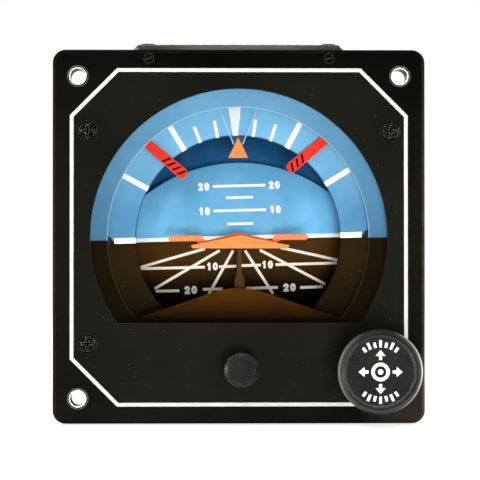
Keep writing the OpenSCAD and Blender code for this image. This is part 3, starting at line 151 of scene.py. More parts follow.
def makeFloor():
    # white paper: much of its white is its own, so it stays pale and still keeps a faint shadow
    material, tree = newMaterial("whitePaper")
    fibres = addNode(tree, "TexNoise", {"Scale": perMm(1.5), "Detail": 4.0})
    grey, white = studio["paper"]
    tone = addNode(tree, "MapRange", {0: fibres, 3: grey, 4: white})
    paper = addNode(tree, "BsdfDiffuse", {"Color": tone})
    seen = addNode(tree, "LightPath").outputs["Is Camera Ray"]
    own = addNode(tree, "Math", {"operation": "MULTIPLY", 0: seen, 1: studio["paperGlow"]})
    glow = addNode(tree, "Emission", {"Color": (1, 1, 1, 1), "Strength": own})
    both = addNode(tree, "AddShader", {0: paper, 1: glow})
    addNode(tree, "OutputMaterial", {"Surface": both})
    foot = cadBox[0][2] - studio["floorDrop"] * mm
    corners = [(-6, -2, foot), (6, -2, foot), (6, 8, foot), (-6, 8, foot)]   # metres
    mesh = bpy.data.meshes.new("floor")
    mesh.from_pydata(corners, [], [(0, 1, 2, 3)])
    mesh.materials.append(material)
    floor = bpy.data.objects.new("floor", mesh)
    bpy.context.scene.collection.objects.link(floor)
    floor.visible_shadow = False   # the front lamp stands a little below the floor's level


placeCamera()
bpy.context.scene.view_settings.view_transform = "Standard"
for name, (spot, aim, size, watts) in studio["lamps"].items():
    areaLamp(name, spot, aim, size, watts)
makeWorld()
makeFloor()
print("camera and studio ready")


def axes(tree):
    # the x, y and z of the point that is shaded, in the frame's metres
    return addNode(tree, "SeparateXYZ", {0: addNode(tree, "TexCoord").outputs["Object"]}).outputs


def grains(tree, size, detail, rough=0.55, stretch=(1, 1, 1)):
    # a field of grains about this many millimetres across, squeezed along the axes that stretch says
    where = addNode(tree, "TexCoord").outputs["Object"]
    if stretch != (1, 1, 1):
        where = addNode(tree, "Mapping", {"Vector": where, "Scale": stretch})
    settings = {"Vector": where, "Scale": perMm(size), "Detail": detail, "Roughness": rough}
    return addNode(tree, "TexNoise", settings)


def patches(tree, size, detail, low, high, start=0.0, end=1.0, **more):
    # uneven patches, which run from start to end between two levels of their grains
    field = grains(tree, size, detail, **more)
    return addNode(tree, "MapRange", {0: field, 1: low, 2: high, 3: start, 4: end})


def mottled(tree, size, detail, low, high, first, second, **more):
    # two hex colours that run into each other in patches
    share = patches(tree, size, detail, low, high, **more)
    return addNode(tree, "Mix", {"data_type": "RGBA", 0: share, 6: fromHex(first), 7: fromHex(second)})


def relief(tree, size, detail, depth, strength=0.3):
    # a fine unevenness, with grains of this size and depth in millimetres
    field = grains(tree, size, detail)
    return addNode(tree, "Bump", {"Height": field, "Strength": strength, "Distance": depth * mm})


def wornEdges(tree, radius, size, low=0.03, high=0.2):
    # a rounded normal that leaves the true one marks an edge, and the noise breaks it up as rubbing does
    soft = addNode(tree, "Bevel", {"samples": 4, "Radius": radius * mm})
    true = addNode(tree, "NewGeometry").outputs["Normal"]
    along = addNode(tree, "VectorMath", {"operation": "DOT_PRODUCT", 0: soft, 1: true})
    turned = addNode(tree, "Math", {"operation": "SUBTRACT", 0: 1.0, 1: along})
    edge = addNode(tree, "MapRange", {0: turned, 1: low, 2: high})
    broken = patches(tree, size, 5.0, 0.42, 0.62, rough=0.65)
    return addNode(tree, "Math", {"operation": "MULTIPLY", 0: edge, 1: broken})


def away(tree, x, z, spot=(0, 0)):
    # distance from an axis that stands at the spot and points ahead
    flat = addNode(tree, "CombineXYZ", {"X": x, "Z": z})
    middle = (spot[0] * mm, 0, spot[1] * mm)
    return addNode(tree, "VectorMath", {"operation": "DISTANCE", 0: flat, 1: middle})


def heightOver(tree, x, z, tilt):
    # height over a line through the middle that leans by this many degrees
    turn = math.radians(tilt)
    flat = addNode(tree, "CombineXYZ", {"X": x, "Z": z})
    upright = (-math.sin(turn), 0, math.cos(turn))
    return addNode(tree, "VectorMath", {"operation": "DOT_PRODUCT", 0: flat, 1: upright})


def giveSurface(tree, settings):
    # every material but the floor's is one surface
    shader = addNode(tree, "BsdfPrincipled", settings)
    addNode(tree, "OutputMaterial", {"Surface": shader})


dustTones = {"enamel": "#9a978c", "dial": "#c9c6ba"}
enamel = {
    "bezel": {
        "dark": "#090805", "light": "#14130e", "bare": "#2c2c27", "rub": 0.2, "cloud": 30,
        "peel": 0.45, "deep": 0.03, "rough": 0.4, "vary": 0.08, "shine": 0.01,
        # painted light and shade, each its run and its gain: lighter at the left, darker at the top, lighter
        # round a spot in the corner by the pull knob
        "left": (-43, -10, 1.5), "top": (20, 43, 0.4), "corner": (40, -38, 13, 3, 6.5),
        # the panel screws' holes, their rims' radius and width, and where y and z - x let them show
        "hole": 37.15, "ring": (2.36, 0.13), "ringTone": "#8a8a80", "front": (0.3, 0.2), "clear": (-60, -50),
    },
    "plate": {
        "dark": "#0c0c06", "light": "#15150d", "bare": "#55564e", "rub": 0.12, "cloud": 26,
        "peel": 0.35, "deep": 0.03, "rough": 0.42, "vary": 0.08, "shine": 0.04,
    },
    "case": {
        "dark": "#121310", "light": "#1c1d19", "bare": "#8b8c88", "rub": 0.35, "cloud": 45,
        "peel": 0.8, "deep": 0.006, "rough": 0.42, "vary": 0.02, "shine": 0.45,
    },
    "cover": {
        # the olive grey is partly the enamel's own and partly a painted reflection of the pale room
        "dark": "#636559", "light": "#787a6d", "bare": "#c9c8c0", "rub": 0.5, "cloud": 8,
        "peel": 0.4, "deep": 0.03, "rough": 0.42, "vary": 0.08, "shine": 0.2,
        # ends: the run and gain of a painted shade towards the ends
        "ends": (12, 19, 0.45), "crest": (44.7, 44.95), "crestTone": "#5f5239",
        "chip": (-23.3, -23.6), "lip": (8.5, 7.3),
    },
}


def bezelWear(tree, look, colour):
    # painted light and shade: the left and the corner by the pull knob are painted lighter, and the top
    # painted darker
    x, y, z = axes(tree)
    start, end, gain = look["left"]
    across = addNode(tree, "MapRange", {0: x, 1: start * mm, 2: end * mm, 3: gain, 4: 1.0})
    start, end, gain = look["top"]
    topShade = addNode(tree, "MapRange", {0: z, 1: start * mm, 2: end * mm, 3: 1.0, 4: gain})
    cornerX, cornerZ, start, end, gain = look["corner"]
    reach = away(tree, x, z, (cornerX, cornerZ))
    corner = addNode(tree, "MapRange", {0: reach, 1: start * mm, 2: end * mm, 3: 1.0, 4: gain})
    tone = addNode(tree, "Math", {"operation": "MULTIPLY", 0: across, 1: topShade})
    tone = addNode(tree, "Math", {"operation": "MULTIPLY", 0: tone, 1: corner})
    colour = addNode(tree, "HueSaturation", {"Color": colour, "Value": tone})

    # the panel screws have rubbed the countersinks' rims bright, but for the one behind the knob
    foldedX = addNode(tree, "Math", {"operation": "ABSOLUTE", 0: x})
    foldedZ = addNode(tree, "Math", {"operation": "ABSOLUTE", 0: z})
    near, wide = (v * mm for v in look["ring"])
    reach = away(tree, foldedX, foldedZ, (look["hole"], look["hole"]))
    past = addNode(tree, "Math", {"operation": "SUBTRACT", 0: reach, 1: near})
    offRing = addNode(tree, "Math", {"operation": "ABSOLUTE", 0: past})
    ring = addNode(tree, "MapRange", {0: offRing, 1: wide, 2: 0.4 * wide})
    rubbed = patches(tree, 0.8, 3.0, 0.3, 0.6, 0.25, 0.8)
    rubbed = addNode(tree, "Math", {"operation": "MULTIPLY", 0: rubbed, 1: ring})
    slant = addNode(tree, "Math", {"operation": "SUBTRACT", 0: z, 1: x})
    for value, (start, end) in ((y, look["front"]), (slant, look["clear"])):
        share = addNode(tree, "MapRange", {0: value, 1: start * mm, 2: end * mm})
        rubbed = addNode(tree, "Math", {"operation": "MULTIPLY", 0: rubbed, 1: share})
    return addNode(tree, "Mix", {"data_type": "RGBA", 0: rubbed, 6: colour, 7: fromHex(look["ringTone"])})


def coverWear(tree, look, colour):
    # painted shade: darker towards its ends; tan along the crest of its front edge, and chipped to the metal
    # at the left
    x, y, z = axes(tree)
    start, end, gain = look["ends"]
    side = addNode(tree, "Math", {"operation": "ABSOLUTE", 0: x})
    tone = addNode(tree, "MapRange", {0: side, 1: start * mm, 2: end * mm, 3: 1.0, 4: gain})
    colour = addNode(tree, "HueSaturation", {"Color": colour, "Value": tone})
    thin, chip = patches(tree, 1.2, 4.0, 0.35, 0.6, 0.4, 1.0), patches(tree, 0.7, 3.0, 0.4, 0.5)
    for value, (start, end) in ((z, look["crest"]), (y, look["lip"])):
        share = addNode(tree, "MapRange", {0: value, 1: start * mm, 2: end * mm})
        thin = addNode(tree, "Math", {"operation": "MULTIPLY", 0: thin, 1: share})
    for value, (start, end) in ((x, look["chip"]), (y, look["lip"])):
        share = addNode(tree, "MapRange", {0: value, 1: start * mm, 2: end * mm})
        chip = addNode(tree, "Math", {"operation": "MULTIPLY", 0: chip, 1: share})
    tan = fromHex(look["crestTone"])
    return addNode(tree, "Mix", {"data_type": "RGBA", 0: thin, 6: colour, 7: tan}), chip


def bakedEnamel(part):
    # baked enamel on aluminium: a dull film with a slight peel, dust, and bare metal where edges rub
    look = enamel[part]
    material, tree = newMaterial(part + "Enamel")
    colour = mottled(tree, look["cloud"], 3.0, 0.3, 0.7, look["dark"], look["light"])
    dust = patches(tree, 0.5, 1.0, 0.775, 0.81, 0.0, 0.22)
    colour = addNode(tree, "Mix", {"data_type": "RGBA", 0: dust, 6: colour, 7: fromHex(dustTones["enamel"])})
    bare = wornEdges(tree, look["rub"], 0.9)
    if part == "bezel":
        colour = bezelWear(tree, look, colour)
    if part == "cover":
        colour, chip = coverWear(tree, look, colour)
        bare = addNode(tree, "Math", {"operation": "MAXIMUM", 0: bare, 1: chip})
    colour = addNode(tree, "Mix", {"data_type": "RGBA", 0: bare, 6: colour, 7: fromHex(look["bare"])})
    smooth, coarse = look["rough"] - look["vary"], look["rough"] + look["vary"]
    giveSurface(tree, {
        "IOR": 1.5, "Specular IOR Level": look["shine"], "Base Color": colour,
        "Roughness": patches(tree, 2.5, 4.0, 0.3, 0.7, smooth, coarse),
        "Metallic": addNode(tree, "Math", {"operation": "MULTIPLY", 0: bare, 1: 0.7}),
        "Normal": relief(tree, look["peel"], 2.0, look["deep"]),
    })
    return material


dialPaint = {
    "surround": {
        # painted light and shade: the sky runs from darker at the sides to paler at the top, the left is
        # darker, and the cut edge's line is a painted highlight
        "sky": ("#5c98c0", "#77b7de"), "ground": ("#231a06", "#1c1304"), "tilt": 0.65, "level": -0.3,
        "spread": (0, 30), "soft": 0.12, "faded": (-8, -28, 0.82),
        "line": (30.76, 30.93), "lineTones": ("#4a3f2c", "#b4e2fb"),
    },
    "ring": {
        # painted light and shade: the sky runs from darker at the sides to paler at the top, the ground
        # darker downwards, and the inner edge's line is a painted shade
        "sky": ("#5b97c1", "#7abbde"), "ground": ("#2b1e07", "#080500"), "tilt": 1.5, "level": 0.0,
        "spread": (6, 22), "soft": 0.1, "line": (24.2, 24.4), "lineTones": ("#0a0600", "#27688f"),
    },
    "dial": {
        # painted shade and light: the ground darkens downwards under the airplane and the hill, and the sides
        # are painted paler where the dial curves away from the lamps
        "sky": ("#68b0d8", "#64a9d3"), "ground": ("#482e0e", "#0b0701"), "tilt": 1.5, "level": 0.0,
        "spread": (4, 12), "soft": 0.08, "sides": (12, 24), "groundPaintedLight": 1.25, "skyPaintedLight": 1.85,
    },
    "ball": {
        # painted shade: the ball's blue and brown are painted dark for the shade of the recess behind the
        # dial
        "sky": ("#2f7bb2", "#1f6194"), "ground": ("#100b03", "#060300"), "tilt": 1.5, "level": 0.0,
        "spread": (8, 26), "soft": 0.1,
    },
}


def horizonPaint(part):
    # matt paint sprayed over a mask: sky above and ground below, each a little uneven and running between
    # two tones that paint in light and shade, with the spray's grain drawn coarser than it is, so that it
    # shows
    look = dialPaint[part]
    material, tree = newMaterial(part + "Paint")
    x, _, z = axes(tree)
    height = heightOver(tree, x, z, look["tilt"])
    level, soft = look["level"] * mm, look["soft"] * mm
    above = addNode(tree, "MapRange", {0: height, 1: level - soft, 2: level + soft})
    near, far = (v * mm for v in look["spread"])
    tones = []
    for half, way in (("ground", -1), ("sky", 1)):
        first, second = map(fromHex, look[half])
        share = addNode(tree, "MapRange", {0: height, 1: way * near, 2: way * far})
        tones.append(addNode(tree, "Mix", {"data_type": "RGBA", 0: share, 6: first, 7: second}))
    colour = addNode(tree, "Mix", {"data_type": "RGBA", 0: above, 6: tones[0], 7: tones[1]})
    if "faded" in look:   # painted shade: the surround's left is darker
        start, end, gain = look["faded"]
        tone = addNode(tree, "MapRange", {0: x, 1: start * mm, 2: end * mm, 3: 1.0, 4: gain})
        colour = addNode(tree, "HueSaturation", {"Color": colour, "Value": tone})
    if "sides" in look:   # painted light: the dial is painted paler where it curves away from the lamps
        start, end = (v * mm for v in look["sides"])
        side = addNode(tree, "Math", {"operation": "ABSOLUTE", 0: x})
        curved = addNode(tree, "MapRange", {0: side, 1: start, 2: end})
        gain = addNode(tree, "MapRange", {0: above, 3: look["groundPaintedLight"], 4: look["skyPaintedLight"]})
        pale = addNode(tree, "HueSaturation", {"Color": colour, "Value": gain})
        colour = addNode(tree, "Mix", {"data_type": "RGBA", 0: curved, 6: colour, 7: pale})
    worn = addNode(tree, "HueSaturation", {"Saturation": 0.95, "Value": 1.06, "Color": colour})
    rubbed = patches(tree, 5, 4.0, 0.4, 0.7)
    colour = addNode(tree, "Mix", {"data_type": "RGBA", 0: rubbed, 6: colour, 7: worn})
    if "line" in look:
        # a painted highlight along the surround's cut edge, and a painted shade along the ring's inner edge,
        # in the dark gap round the dial
        inner, outer = (v * mm for v in look["line"])
        rim = addNode(tree, "MapRange", {0: away(tree, x, z), 1: outer, 2: inner})
        ground, sky = map(fromHex, look["lineTones"])
        edge = addNode(tree, "Mix", {"data_type": "RGBA", 0: above, 6: ground, 7: sky})
        colour = addNode(tree, "Mix", {"data_type": "RGBA", 0: rim, 6: colour, 7: edge})
    speck, dust = patches(tree, 0.45, 1.0, 0.77, 0.81, 0.0, 0.35), fromHex(dustTones["dial"])
    giveSurface(tree, {
        "IOR": 1.45, "Specular IOR Level": 0.06,
        "Base Color": addNode(tree, "Mix", {"data_type": "RGBA", 0: speck, 6: colour, 7: dust}),
        "Roughness": patches(tree, 3, 3.0, 0.3, 0.7, 0.68, 0.85),
        "Normal": relief(tree, 0.3, 2.0, 0.02, 0.25),
    })
    return material


paints = {
    # the mark paints glow a little, a painted light where the lamps hardly reach: its strength at two heights
    "whiteMarkPaint": {
        "main": "#ffffff", "patch": "#f6f9f9", "grain": 1.2, "rough": 0.6, "shine": 0.1,
        "glow": ((3, 0.0), (1, 0.35)),
    },
    "creamMarkPaint": {
        "main": "#f8f0df", "patch": "#efe6d4", "grain": 1.0, "rough": 0.65, "shine": 0.1,
        "fade": (-7, -12.5, 0.3, "#5d564c"),   # the hill keeps the light from the lowest marks
        "glow": ((-12.5, 0.04), (-7, 0.12)),
    },
    "outlineEnamel": {
        "main": "#dcdcd6", "patch": "#d1d1c9", "grain": 3.0, "rough": 0.45, "shine": 0.1,
        # half the octagon's width, what x and z add up to on its slants, its line's width and what is lapped
        "half": 39.05, "corner": 67.2, "line": 1.0, "lap": 0.07, "over": "#0d0d09",
    },
    "indexOrangePaint": {"main": "#f68f4c", "patch": "#ec945c", "grain": 1.5, "rough": 0.7, "shine": 0.1},
    "redPaint": {"main": "#fb3526", "patch": "#ea3a29", "grain": 2.0, "rough": 0.7, "shine": 0.1},
    "rubbedEnamel": {"main": "#2e2e2a", "patch": "#1a1a17", "grain": 0.6, "rough": 0.45, "shine": 0.1},
    "blackMarkPaint": {"main": "#1c0f0c", "patch": "#2c1612", "grain": 0.8, "rough": 0.7, "shine": 0.1},
    "brownPaint": {
        "main": "#563209", "patch": "#4a2a07", "grain": 4.0, "rough": 0.75, "shine": 0.02,
        "fade": (-12.2, -19, 1.0, "#180a03"),   # the hill fades into shadow towards the window's flat
    },
}


def chalky(tree, colour, rough=0.7, shine=0.1):
    # what every matt paint here has: hardly any shine, and a grain drawn coarser than the real one, to show
    return {
        "IOR": 1.45, "Specular IOR Level": shine, "Base Color": colour,
        "Roughness": patches(tree, 1.5, 3.0, 0.3, 0.7, rough - 0.06, rough + 0.08),
        "Normal": relief(tree, 0.25, 2.0, 0.015, 0.25),
    }


def lappedLine(tree, look, colour):
    # the black enamel on both sides laps a little over the white line, not quite evenly
    x, _, z = axes(tree)
    x = addNode(tree, "Math", {"operation": "ABSOLUTE", 0: x})
    z = addNode(tree, "Math", {"operation": "ABSOLUTE", 0: z})
    both = addNode(tree, "Math", {"operation": "ADD", 0: x, 1: z})
    past = addNode(tree, "Math", {"operation": "SUBTRACT", 0: both, 1: look["corner"] * mm})
    slant = addNode(tree, "Math", {"operation": "MULTIPLY", 0: past, 1: math.sqrt(0.5)})
    wide = addNode(tree, "Math", {"operation": "MAXIMUM", 0: x, 1: z})
    side = addNode(tree, "Math", {"operation": "SUBTRACT", 0: wide, 1: look["half"] * mm})
    inset = addNode(tree, "Math", {"operation": "MAXIMUM", 0: side, 1: slant})
    fromMiddle = addNode(tree, "Math", {"operation": "ADD", 0: inset, 1: look["line"] / 2 * mm})
    offMiddle = addNode(tree, "Math", {"operation": "ABSOLUTE", 0: fromMiddle})
    ragged = patches(tree, 1.5, 3.0, 0.3, 0.7, 0.02 * mm, -0.02 * mm)
    edge = addNode(tree, "Math", {"operation": "ADD", 0: offMiddle, 1: ragged})
    clear = look["line"] / 2 - look["lap"]
    lapped = addNode(tree, "MapRange", {0: edge, 1: (clear - 0.01) * mm, 2: clear * mm})
    return addNode(tree, "Mix", {"data_type": "RGBA", 0: lapped, 6: colour, 7: fromHex(look["over"])})


def mattPaint(name):
    # matt instrument paint: chalky, so it barely shines, with patches where the coat is thinner
    look = paints[name]
    material, tree = newMaterial(name)
    z = axes(tree)[2]
    colour = mottled(tree, look["grain"], 4.0, 0.4, 0.68, look["main"], look["patch"])
    # painted shade: a darker tone towards the bottom
    if "fade" in look:
        start, end, most, tone = look["fade"]
        share = addNode(tree, "MapRange", {0: z, 1: start * mm, 2: end * mm, 3: 0.0, 4: most})
        colour = addNode(tree, "Mix", {"data_type": "RGBA", 0: share, 6: colour, 7: fromHex(tone)})
    if "lap" in look:
        colour = lappedLine(tree, look, colour)
    settings = chalky(tree, colour, look["rough"], look["shine"])
    # painted light: the marks glow a little
    if "glow" in look:
        (start, low), (end, high) = look["glow"]
        strength = addNode(tree, "MapRange", {0: z, 1: start * mm, 2: end * mm, 3: low, 4: high})
        settings.update({"Emission Color": colour, "Emission Strength": strength})
    giveSurface(tree, settings)
    return material


airplaneLook = {
    "orange": ("#f69b53", "#ee934d"), "brown": ("#573b1c", "#3b2508"),
    "mast": (-4, -16), "split": (-2.5, -2.55),
}


def airplanePaint():
    # fluorescent orange on the delta, brown on the mast and the carriage below it, both matt
    look = airplaneLook
    material, tree = newMaterial("airplanePaint")
    z = axes(tree)[2]
    orange = mottled(tree, 2.5, 4.0, 0.4, 0.68, *look["orange"])
    start, end = (v * mm for v in look["mast"])
    down = addNode(tree, "MapRange", {0: z, 1: start, 2: end})
    upper, lower = map(fromHex, look["brown"])
    brown = addNode(tree, "Mix", {"data_type": "RGBA", 0: down, 6: upper, 7: lower})
    start, end = (v * mm for v in look["split"])
    below = addNode(tree, "MapRange", {0: z, 1: start, 2: end})
    colour = addNode(tree, "Mix", {"data_type": "RGBA", 0: below, 6: orange, 7: brown})
    giveSurface(tree, chalky(tree, colour))
    return material


barsLook = {
    "face": "#f69a62", "patch": "#f08f54", "edge": "#fb6a30",
    "lean": 0.75, "middle": -0.01, "edgeRun": (0.4, 0.64), "tips": (7.2, 8.6),
}


def commandBarPaint():
    # fluorescent orange on the level tips, redder along their edges, and the V painted redder, a painted
    # shade of the airplane in front
    look = barsLook
    material, tree = newMaterial("commandBarPaint")
    x, _, z = axes(tree)
    height = heightOver(tree, x, z, look["lean"])
    past = addNode(tree, "Math", {"operation": "SUBTRACT", 0: height, 1: look["middle"] * mm})
    out = addNode(tree, "Math", {"operation": "ABSOLUTE", 0: past})
    start, end = (v * mm for v in look["edgeRun"])
    edge = addNode(tree, "MapRange", {0: out, 1: start, 2: end, 3: 0.0, 4: 0.8})
    face = mottled(tree, 2.0, 4.0, 0.4, 0.68, look["face"], look["patch"])
    tips = addNode(tree, "Mix", {"data_type": "RGBA", 0: edge, 6: face, 7: fromHex(look["edge"])})
    # painted shade: inside the tips, the V takes the redder tone
    side = addNode(tree, "Math", {"operation": "ABSOLUTE", 0: x})
    start, end = (v * mm for v in look["tips"])
    along = addNode(tree, "MapRange", {0: side, 1: start, 2: end})
    colour = addNode(tree, "Mix", {"data_type": "RGBA", 0: along, 6: fromHex(look["edge"]), 7: tips})
    giveSurface(tree, chalky(tree, colour))
    return material


plastics = {
    "knobPhenolic": {
        "dark": "#0c0c06", "light": "#17170e", "rub": "#8a8a7e", "grain": 0.5, "rough": 0.3, "shine": 0.15,
        # each rim: its middle, and where it starts and ends round that
        "rims": ((31.3, -30.3, 7.6, 9.8), (0.4, -30.3, 3.3, 4.4)), "soft": 0.1,
        # the shine falls off towards the rims' tops
        "rimRough": 0.42, "rimShine": (0.5, 0.175), "topRun": (4, 9),
        # the pull knob's lip, the strength of its painted highlight at its right and left, and over what run
        "lip": (9.0, 9.3, 10.2), "lipDepth": (-14.2, -15.2),
        "paintedGleam": (0.5, 0.3), "gleamRun": (3, 9), "gleamTone": "#bcbaac",
    },
    "liftNylon": {
        "dark": "#1a1b1a", "light": "#262725", "rub": "#3a3b38", "grain": 0.8, "rough": 0.6, "shine": 0.3,
    },
    "brushPhenolic": {
        "dark": "#54290f", "light": "#7b4220", "rub": "#9c6a42", "grain": 0.7, "rough": 0.5, "shine": 0.45,
    },
    "sealRubber": {
        "dark": "#0b0b0a", "light": "#171716", "rub": "#2a2a28", "grain": 0.4, "rough": 0.8, "shine": 0.25,
    },
}


def polishedRims(tree, look, colour, rough):
    # the knobs' rims shine more than their faces, less towards their tops, and the pull knob's lip carries a
    # painted highlight at its right and left
    x, y, z = axes(tree)
    rims, soft = [], look["soft"]
    for spotX, spotZ, start, end in look["rims"]:
        reach = away(tree, x, z, (spotX, spotZ))
        inside = addNode(tree, "MapRange", {0: reach, 1: (start - soft) * mm, 2: (start + soft) * mm})
        outside = addNode(tree, "MapRange", {0: reach, 1: (end + soft) * mm, 2: end * mm})
        rims.append(addNode(tree, "Math", {"operation": "MULTIPLY", 0: inside, 1: outside}))
    rim = addNode(tree, "Math", {"operation": "MAXIMUM", 0: rims[0], 1: rims[1]})
    worn = addNode(tree, "Math", {"operation": "MULTIPLY", 0: rim, 1: look["rimRough"]})
    rough = addNode(tree, "Math", {"operation": "MAXIMUM", 0: rough, 1: worn})
    middleX, middleZ = look["rims"][0][:2]
    start, end = ((middleZ + v) * mm for v in look["topRun"])
    most, least = look["rimShine"]
    top = addNode(tree, "MapRange", {0: z, 1: start, 2: end, 3: most, 4: least})
    shine = addNode(tree, "Math", {"operation": "MULTIPLY", 0: rim, 1: top})
    shine = addNode(tree, "Math", {"operation": "MAXIMUM", 0: look["shine"], 1: shine})

    # painted highlight: the lip is painted pale at its right and left
    reach = away(tree, x, z, (middleX, middleZ))
    start, full, end = (v * mm for v in look["lip"])
    back, front = (v * mm for v in look["lipDepth"])
    sides = []
    for way, most in zip((1, -1), look["paintedGleam"]):
        near, far = ((middleX + way * v) * mm for v in look["gleamRun"])
        sides.append(addNode(tree, "MapRange", {0: x, 1: near, 2: far, 3: 0.0, 4: most}))
    paintedGleam = addNode(tree, "Math", {"operation": "MAXIMUM", 0: sides[0], 1: sides[1]})
    for value, low, high in ((reach, start, full), (reach, end, full), (y, back, front)):
        share = addNode(tree, "MapRange", {0: value, 1: low, 2: high})
        paintedGleam = addNode(tree, "Math", {"operation": "MULTIPLY", 0: paintedGleam, 1: share})
    colour = addNode(tree, "Mix", {"data_type": "RGBA", 0: paintedGleam, 6: colour, 7: fromHex(look["gleamTone"])})
    return colour, rough, shine


def mouldedPlastic(name):
    # compression-moulded plastic: a low sheen with flow marks, paler where fingers have rubbed the edges
    look = plastics[name]
    material, tree = newMaterial(name)
    colour = mottled(tree, 4, 3.0, 0.35, 0.7, look["dark"], look["light"], stretch=(1, 0.4, 1))
    rubbed = addNode(tree, "Math", {"operation": "MULTIPLY", 0: wornEdges(tree, 0.3, 0.6), 1: 0.8})
    colour = addNode(tree, "Mix", {"data_type": "RGBA", 0: rubbed, 6: colour, 7: fromHex(look["rub"])})
    rough = patches(tree, 1.2, 4.0, 0.3, 0.7, look["rough"] - 0.07, look["rough"] + 0.1)
    shine = look["shine"]
    if "rims" in look:
        colour, rough, shine = polishedRims(tree, look, colour, rough)
    giveSurface(tree, {
        "IOR": 1.5, "Specular IOR Level": shine, "Base Color": colour, "Roughness": rough,
        "Normal": relief(tree, look["grain"], 3.0, 0.02, 0.3),
    })
    return material


metals = {
    "machinedSteel": {"pale": "#c9c9c6", "dull": "#9b9b98", "stretch": (1, 6, 1), "mark": 0.3, "rough": 0.32},
    "sleeveSteel": {
        "pale": "#7b7a75", "dull": "#55544f", "stretch": (1, 5, 1), "mark": 0.25, "rough": 0.36,
        "face": "#e9e8e0", "faceDepth": (0.12, 0.05), "faceMetal": 0.15,
    },
    "blackenedSteel": {
        "pale": "#45443f", "dull": "#2b2a27", "stretch": (1, 3, 1), "mark": 0.35, "rough": 0.42,
    },
    "blackOxide": {
        "pale": "#141311", "dull": "#0b0a09", "stretch": (1, 3, 1), "mark": 0.35, "rough": 0.42,
        # the pale tone is painted glints on the recess's edges, and the near-black one painted shade in the
        # recess below the sunk depth
        "rub": "#b5b3a8", "recessShade": "#050504", "sunk": (-0.5, -0.42),
    },
    "screwSteel": {"pale": "#8f8d86", "dull": "#6a6963", "stretch": (1, 4, 1), "mark": 0.3, "rough": 0.36},
    "turnedBrass": {"pale": "#d1a853", "dull": "#a57f38", "stretch": (1, 8, 1), "mark": 0.3, "rough": 0.28},
    "goldContact": {"pale": "#e3c06a", "dull": "#bd963f", "stretch": (1, 4, 1), "mark": 0.2, "rough": 0.25},
    "castAluminium": {"pale": "#b4b5b6", "dull": "#8e8f91", "stretch": (1, 1, 1), "mark": 0.8, "rough": 0.5},
    "turnedAluminium": {
        "pale": "#c2c3c4", "dull": "#a0a1a3", "stretch": (1, 7, 1), "mark": 0.35, "rough": 0.36,
    },
    "copperWinding": {"pale": "#a9623a", "dull": "#6e3a20", "stretch": (1, 1, 9), "mark": 0.4, "rough": 0.4},
    "springSteel": {"pale": "#b9b8b2", "dull": "#83827c", "stretch": (1, 1, 1), "mark": 0.5, "rough": 0.35},
}


def machinedMetal(name):
    # cut metal: tool marks run round the piece, drawn coarser than a cutter's so that they show, and
    # handling leaves it duller in patches
    look = metals[name]
    material, tree = newMaterial(name)
    cut = grains(tree, look["mark"], 4.0, 0.6, look["stretch"])
    colour = mottled(tree, 5, 4.0, 0.4, 0.7, look["pale"], look["dull"])
    groove = addNode(tree, "MapRange", {0: cut, 1: 0.3, 2: 0.8, 3: 0.0, 4: 0.25})
    colour = addNode(tree, "Mix", {"data_type": "RGBA", 0: groove, 6: colour, 7: fromHex(look["dull"])})
    smooth, coarse = look["rough"] - 0.08, look["rough"] + 0.06
    rough = addNode(tree, "MapRange", {0: cut, 1: 0.3, 2: 0.7, 3: smooth, 4: coarse})
    handled = patches(tree, 5, 4.0, 0.4, 0.7, 0.0, 0.1)
    metallic = 1.0
    if "rub" in look:   # black oxide, with painted glints on the recess's edges and painted shade in the recess below the head's face
        start, end = (v * mm for v in look["sunk"])
        below = addNode(tree, "MapRange", {0: axes(tree)[1], 1: start, 2: end})
        colour = addNode(tree, "Mix", {"data_type": "RGBA", 0: below, 6: colour, 7: fromHex(look["recessShade"])})
        worn = wornEdges(tree, 0.16, 0.7, 0.02, 0.1)
        colour = addNode(tree, "Mix", {"data_type": "RGBA", 0: worn, 6: colour, 7: fromHex(look["rub"])})
    if "face" in look:   # the end that lies in the bezel's face is dulled pale
        start, end = (v * mm for v in look["faceDepth"])
        face = addNode(tree, "MapRange", {0: axes(tree)[1], 1: start, 2: end})
        colour = addNode(tree, "Mix", {"data_type": "RGBA", 0: face, 6: colour, 7: fromHex(look["face"])})
        metallic = addNode(tree, "MapRange", {0: face, 3: 1.0, 4: look["faceMetal"]})
    giveSurface(tree, {
        "Base Color": colour, "Metallic": metallic,
        "Roughness": addNode(tree, "Math", {"operation": "ADD", 0: rough, 1: handled}),
        "Normal": addNode(tree, "Bump", {"Height": cut, "Strength": 0.2, "Distance": 0.02 * mm}),
    })
    return material


connectorLook = {
    "plating": ("#6c6a4a", "#8b8762"), "rub": "#b4b2a2", "rough": (0.36, 0.52), "metal": (0.75, 0.9),
}


def platedConnector():
    # olive chromate over plated aluminium: mottled, with a dull gleam, and rubbed pale along its edges
    look = connectorLook
    material, tree = newMaterial("oliveChromate")
    plating = mottled(tree, 1.8, 5.0, 0.35, 0.7, *look["plating"], rough=0.6)
    rubbed = addNode(tree, "Math", {"operation": "MULTIPLY", 0: wornEdges(tree, 0.3, 0.7), 1: 0.7})
    plating = addNode(tree, "Mix", {"data_type": "RGBA", 0: rubbed, 6: plating, 7: fromHex(look["rub"])})
    giveSurface(tree, {
        "Base Color": plating,
        "Roughness": patches(tree, 1.0, 4.0, 0.3, 0.7, *look["rough"]),
        "Metallic": patches(tree, 1.8, 5.0, 0.35, 0.7, *look["metal"], rough=0.6),
        "Normal": relief(tree, 0.3, 3.0, 0.02, 0.25),
    })
    return material


boardLook = {
    "mask": "#1f5a30", "track": "#3f8a4c", "pitch": 24,
    "parts": ("#26241f", "#b9a27a"), "face": (138.2, 138.25), "rough": (0.3, 0.5),
}


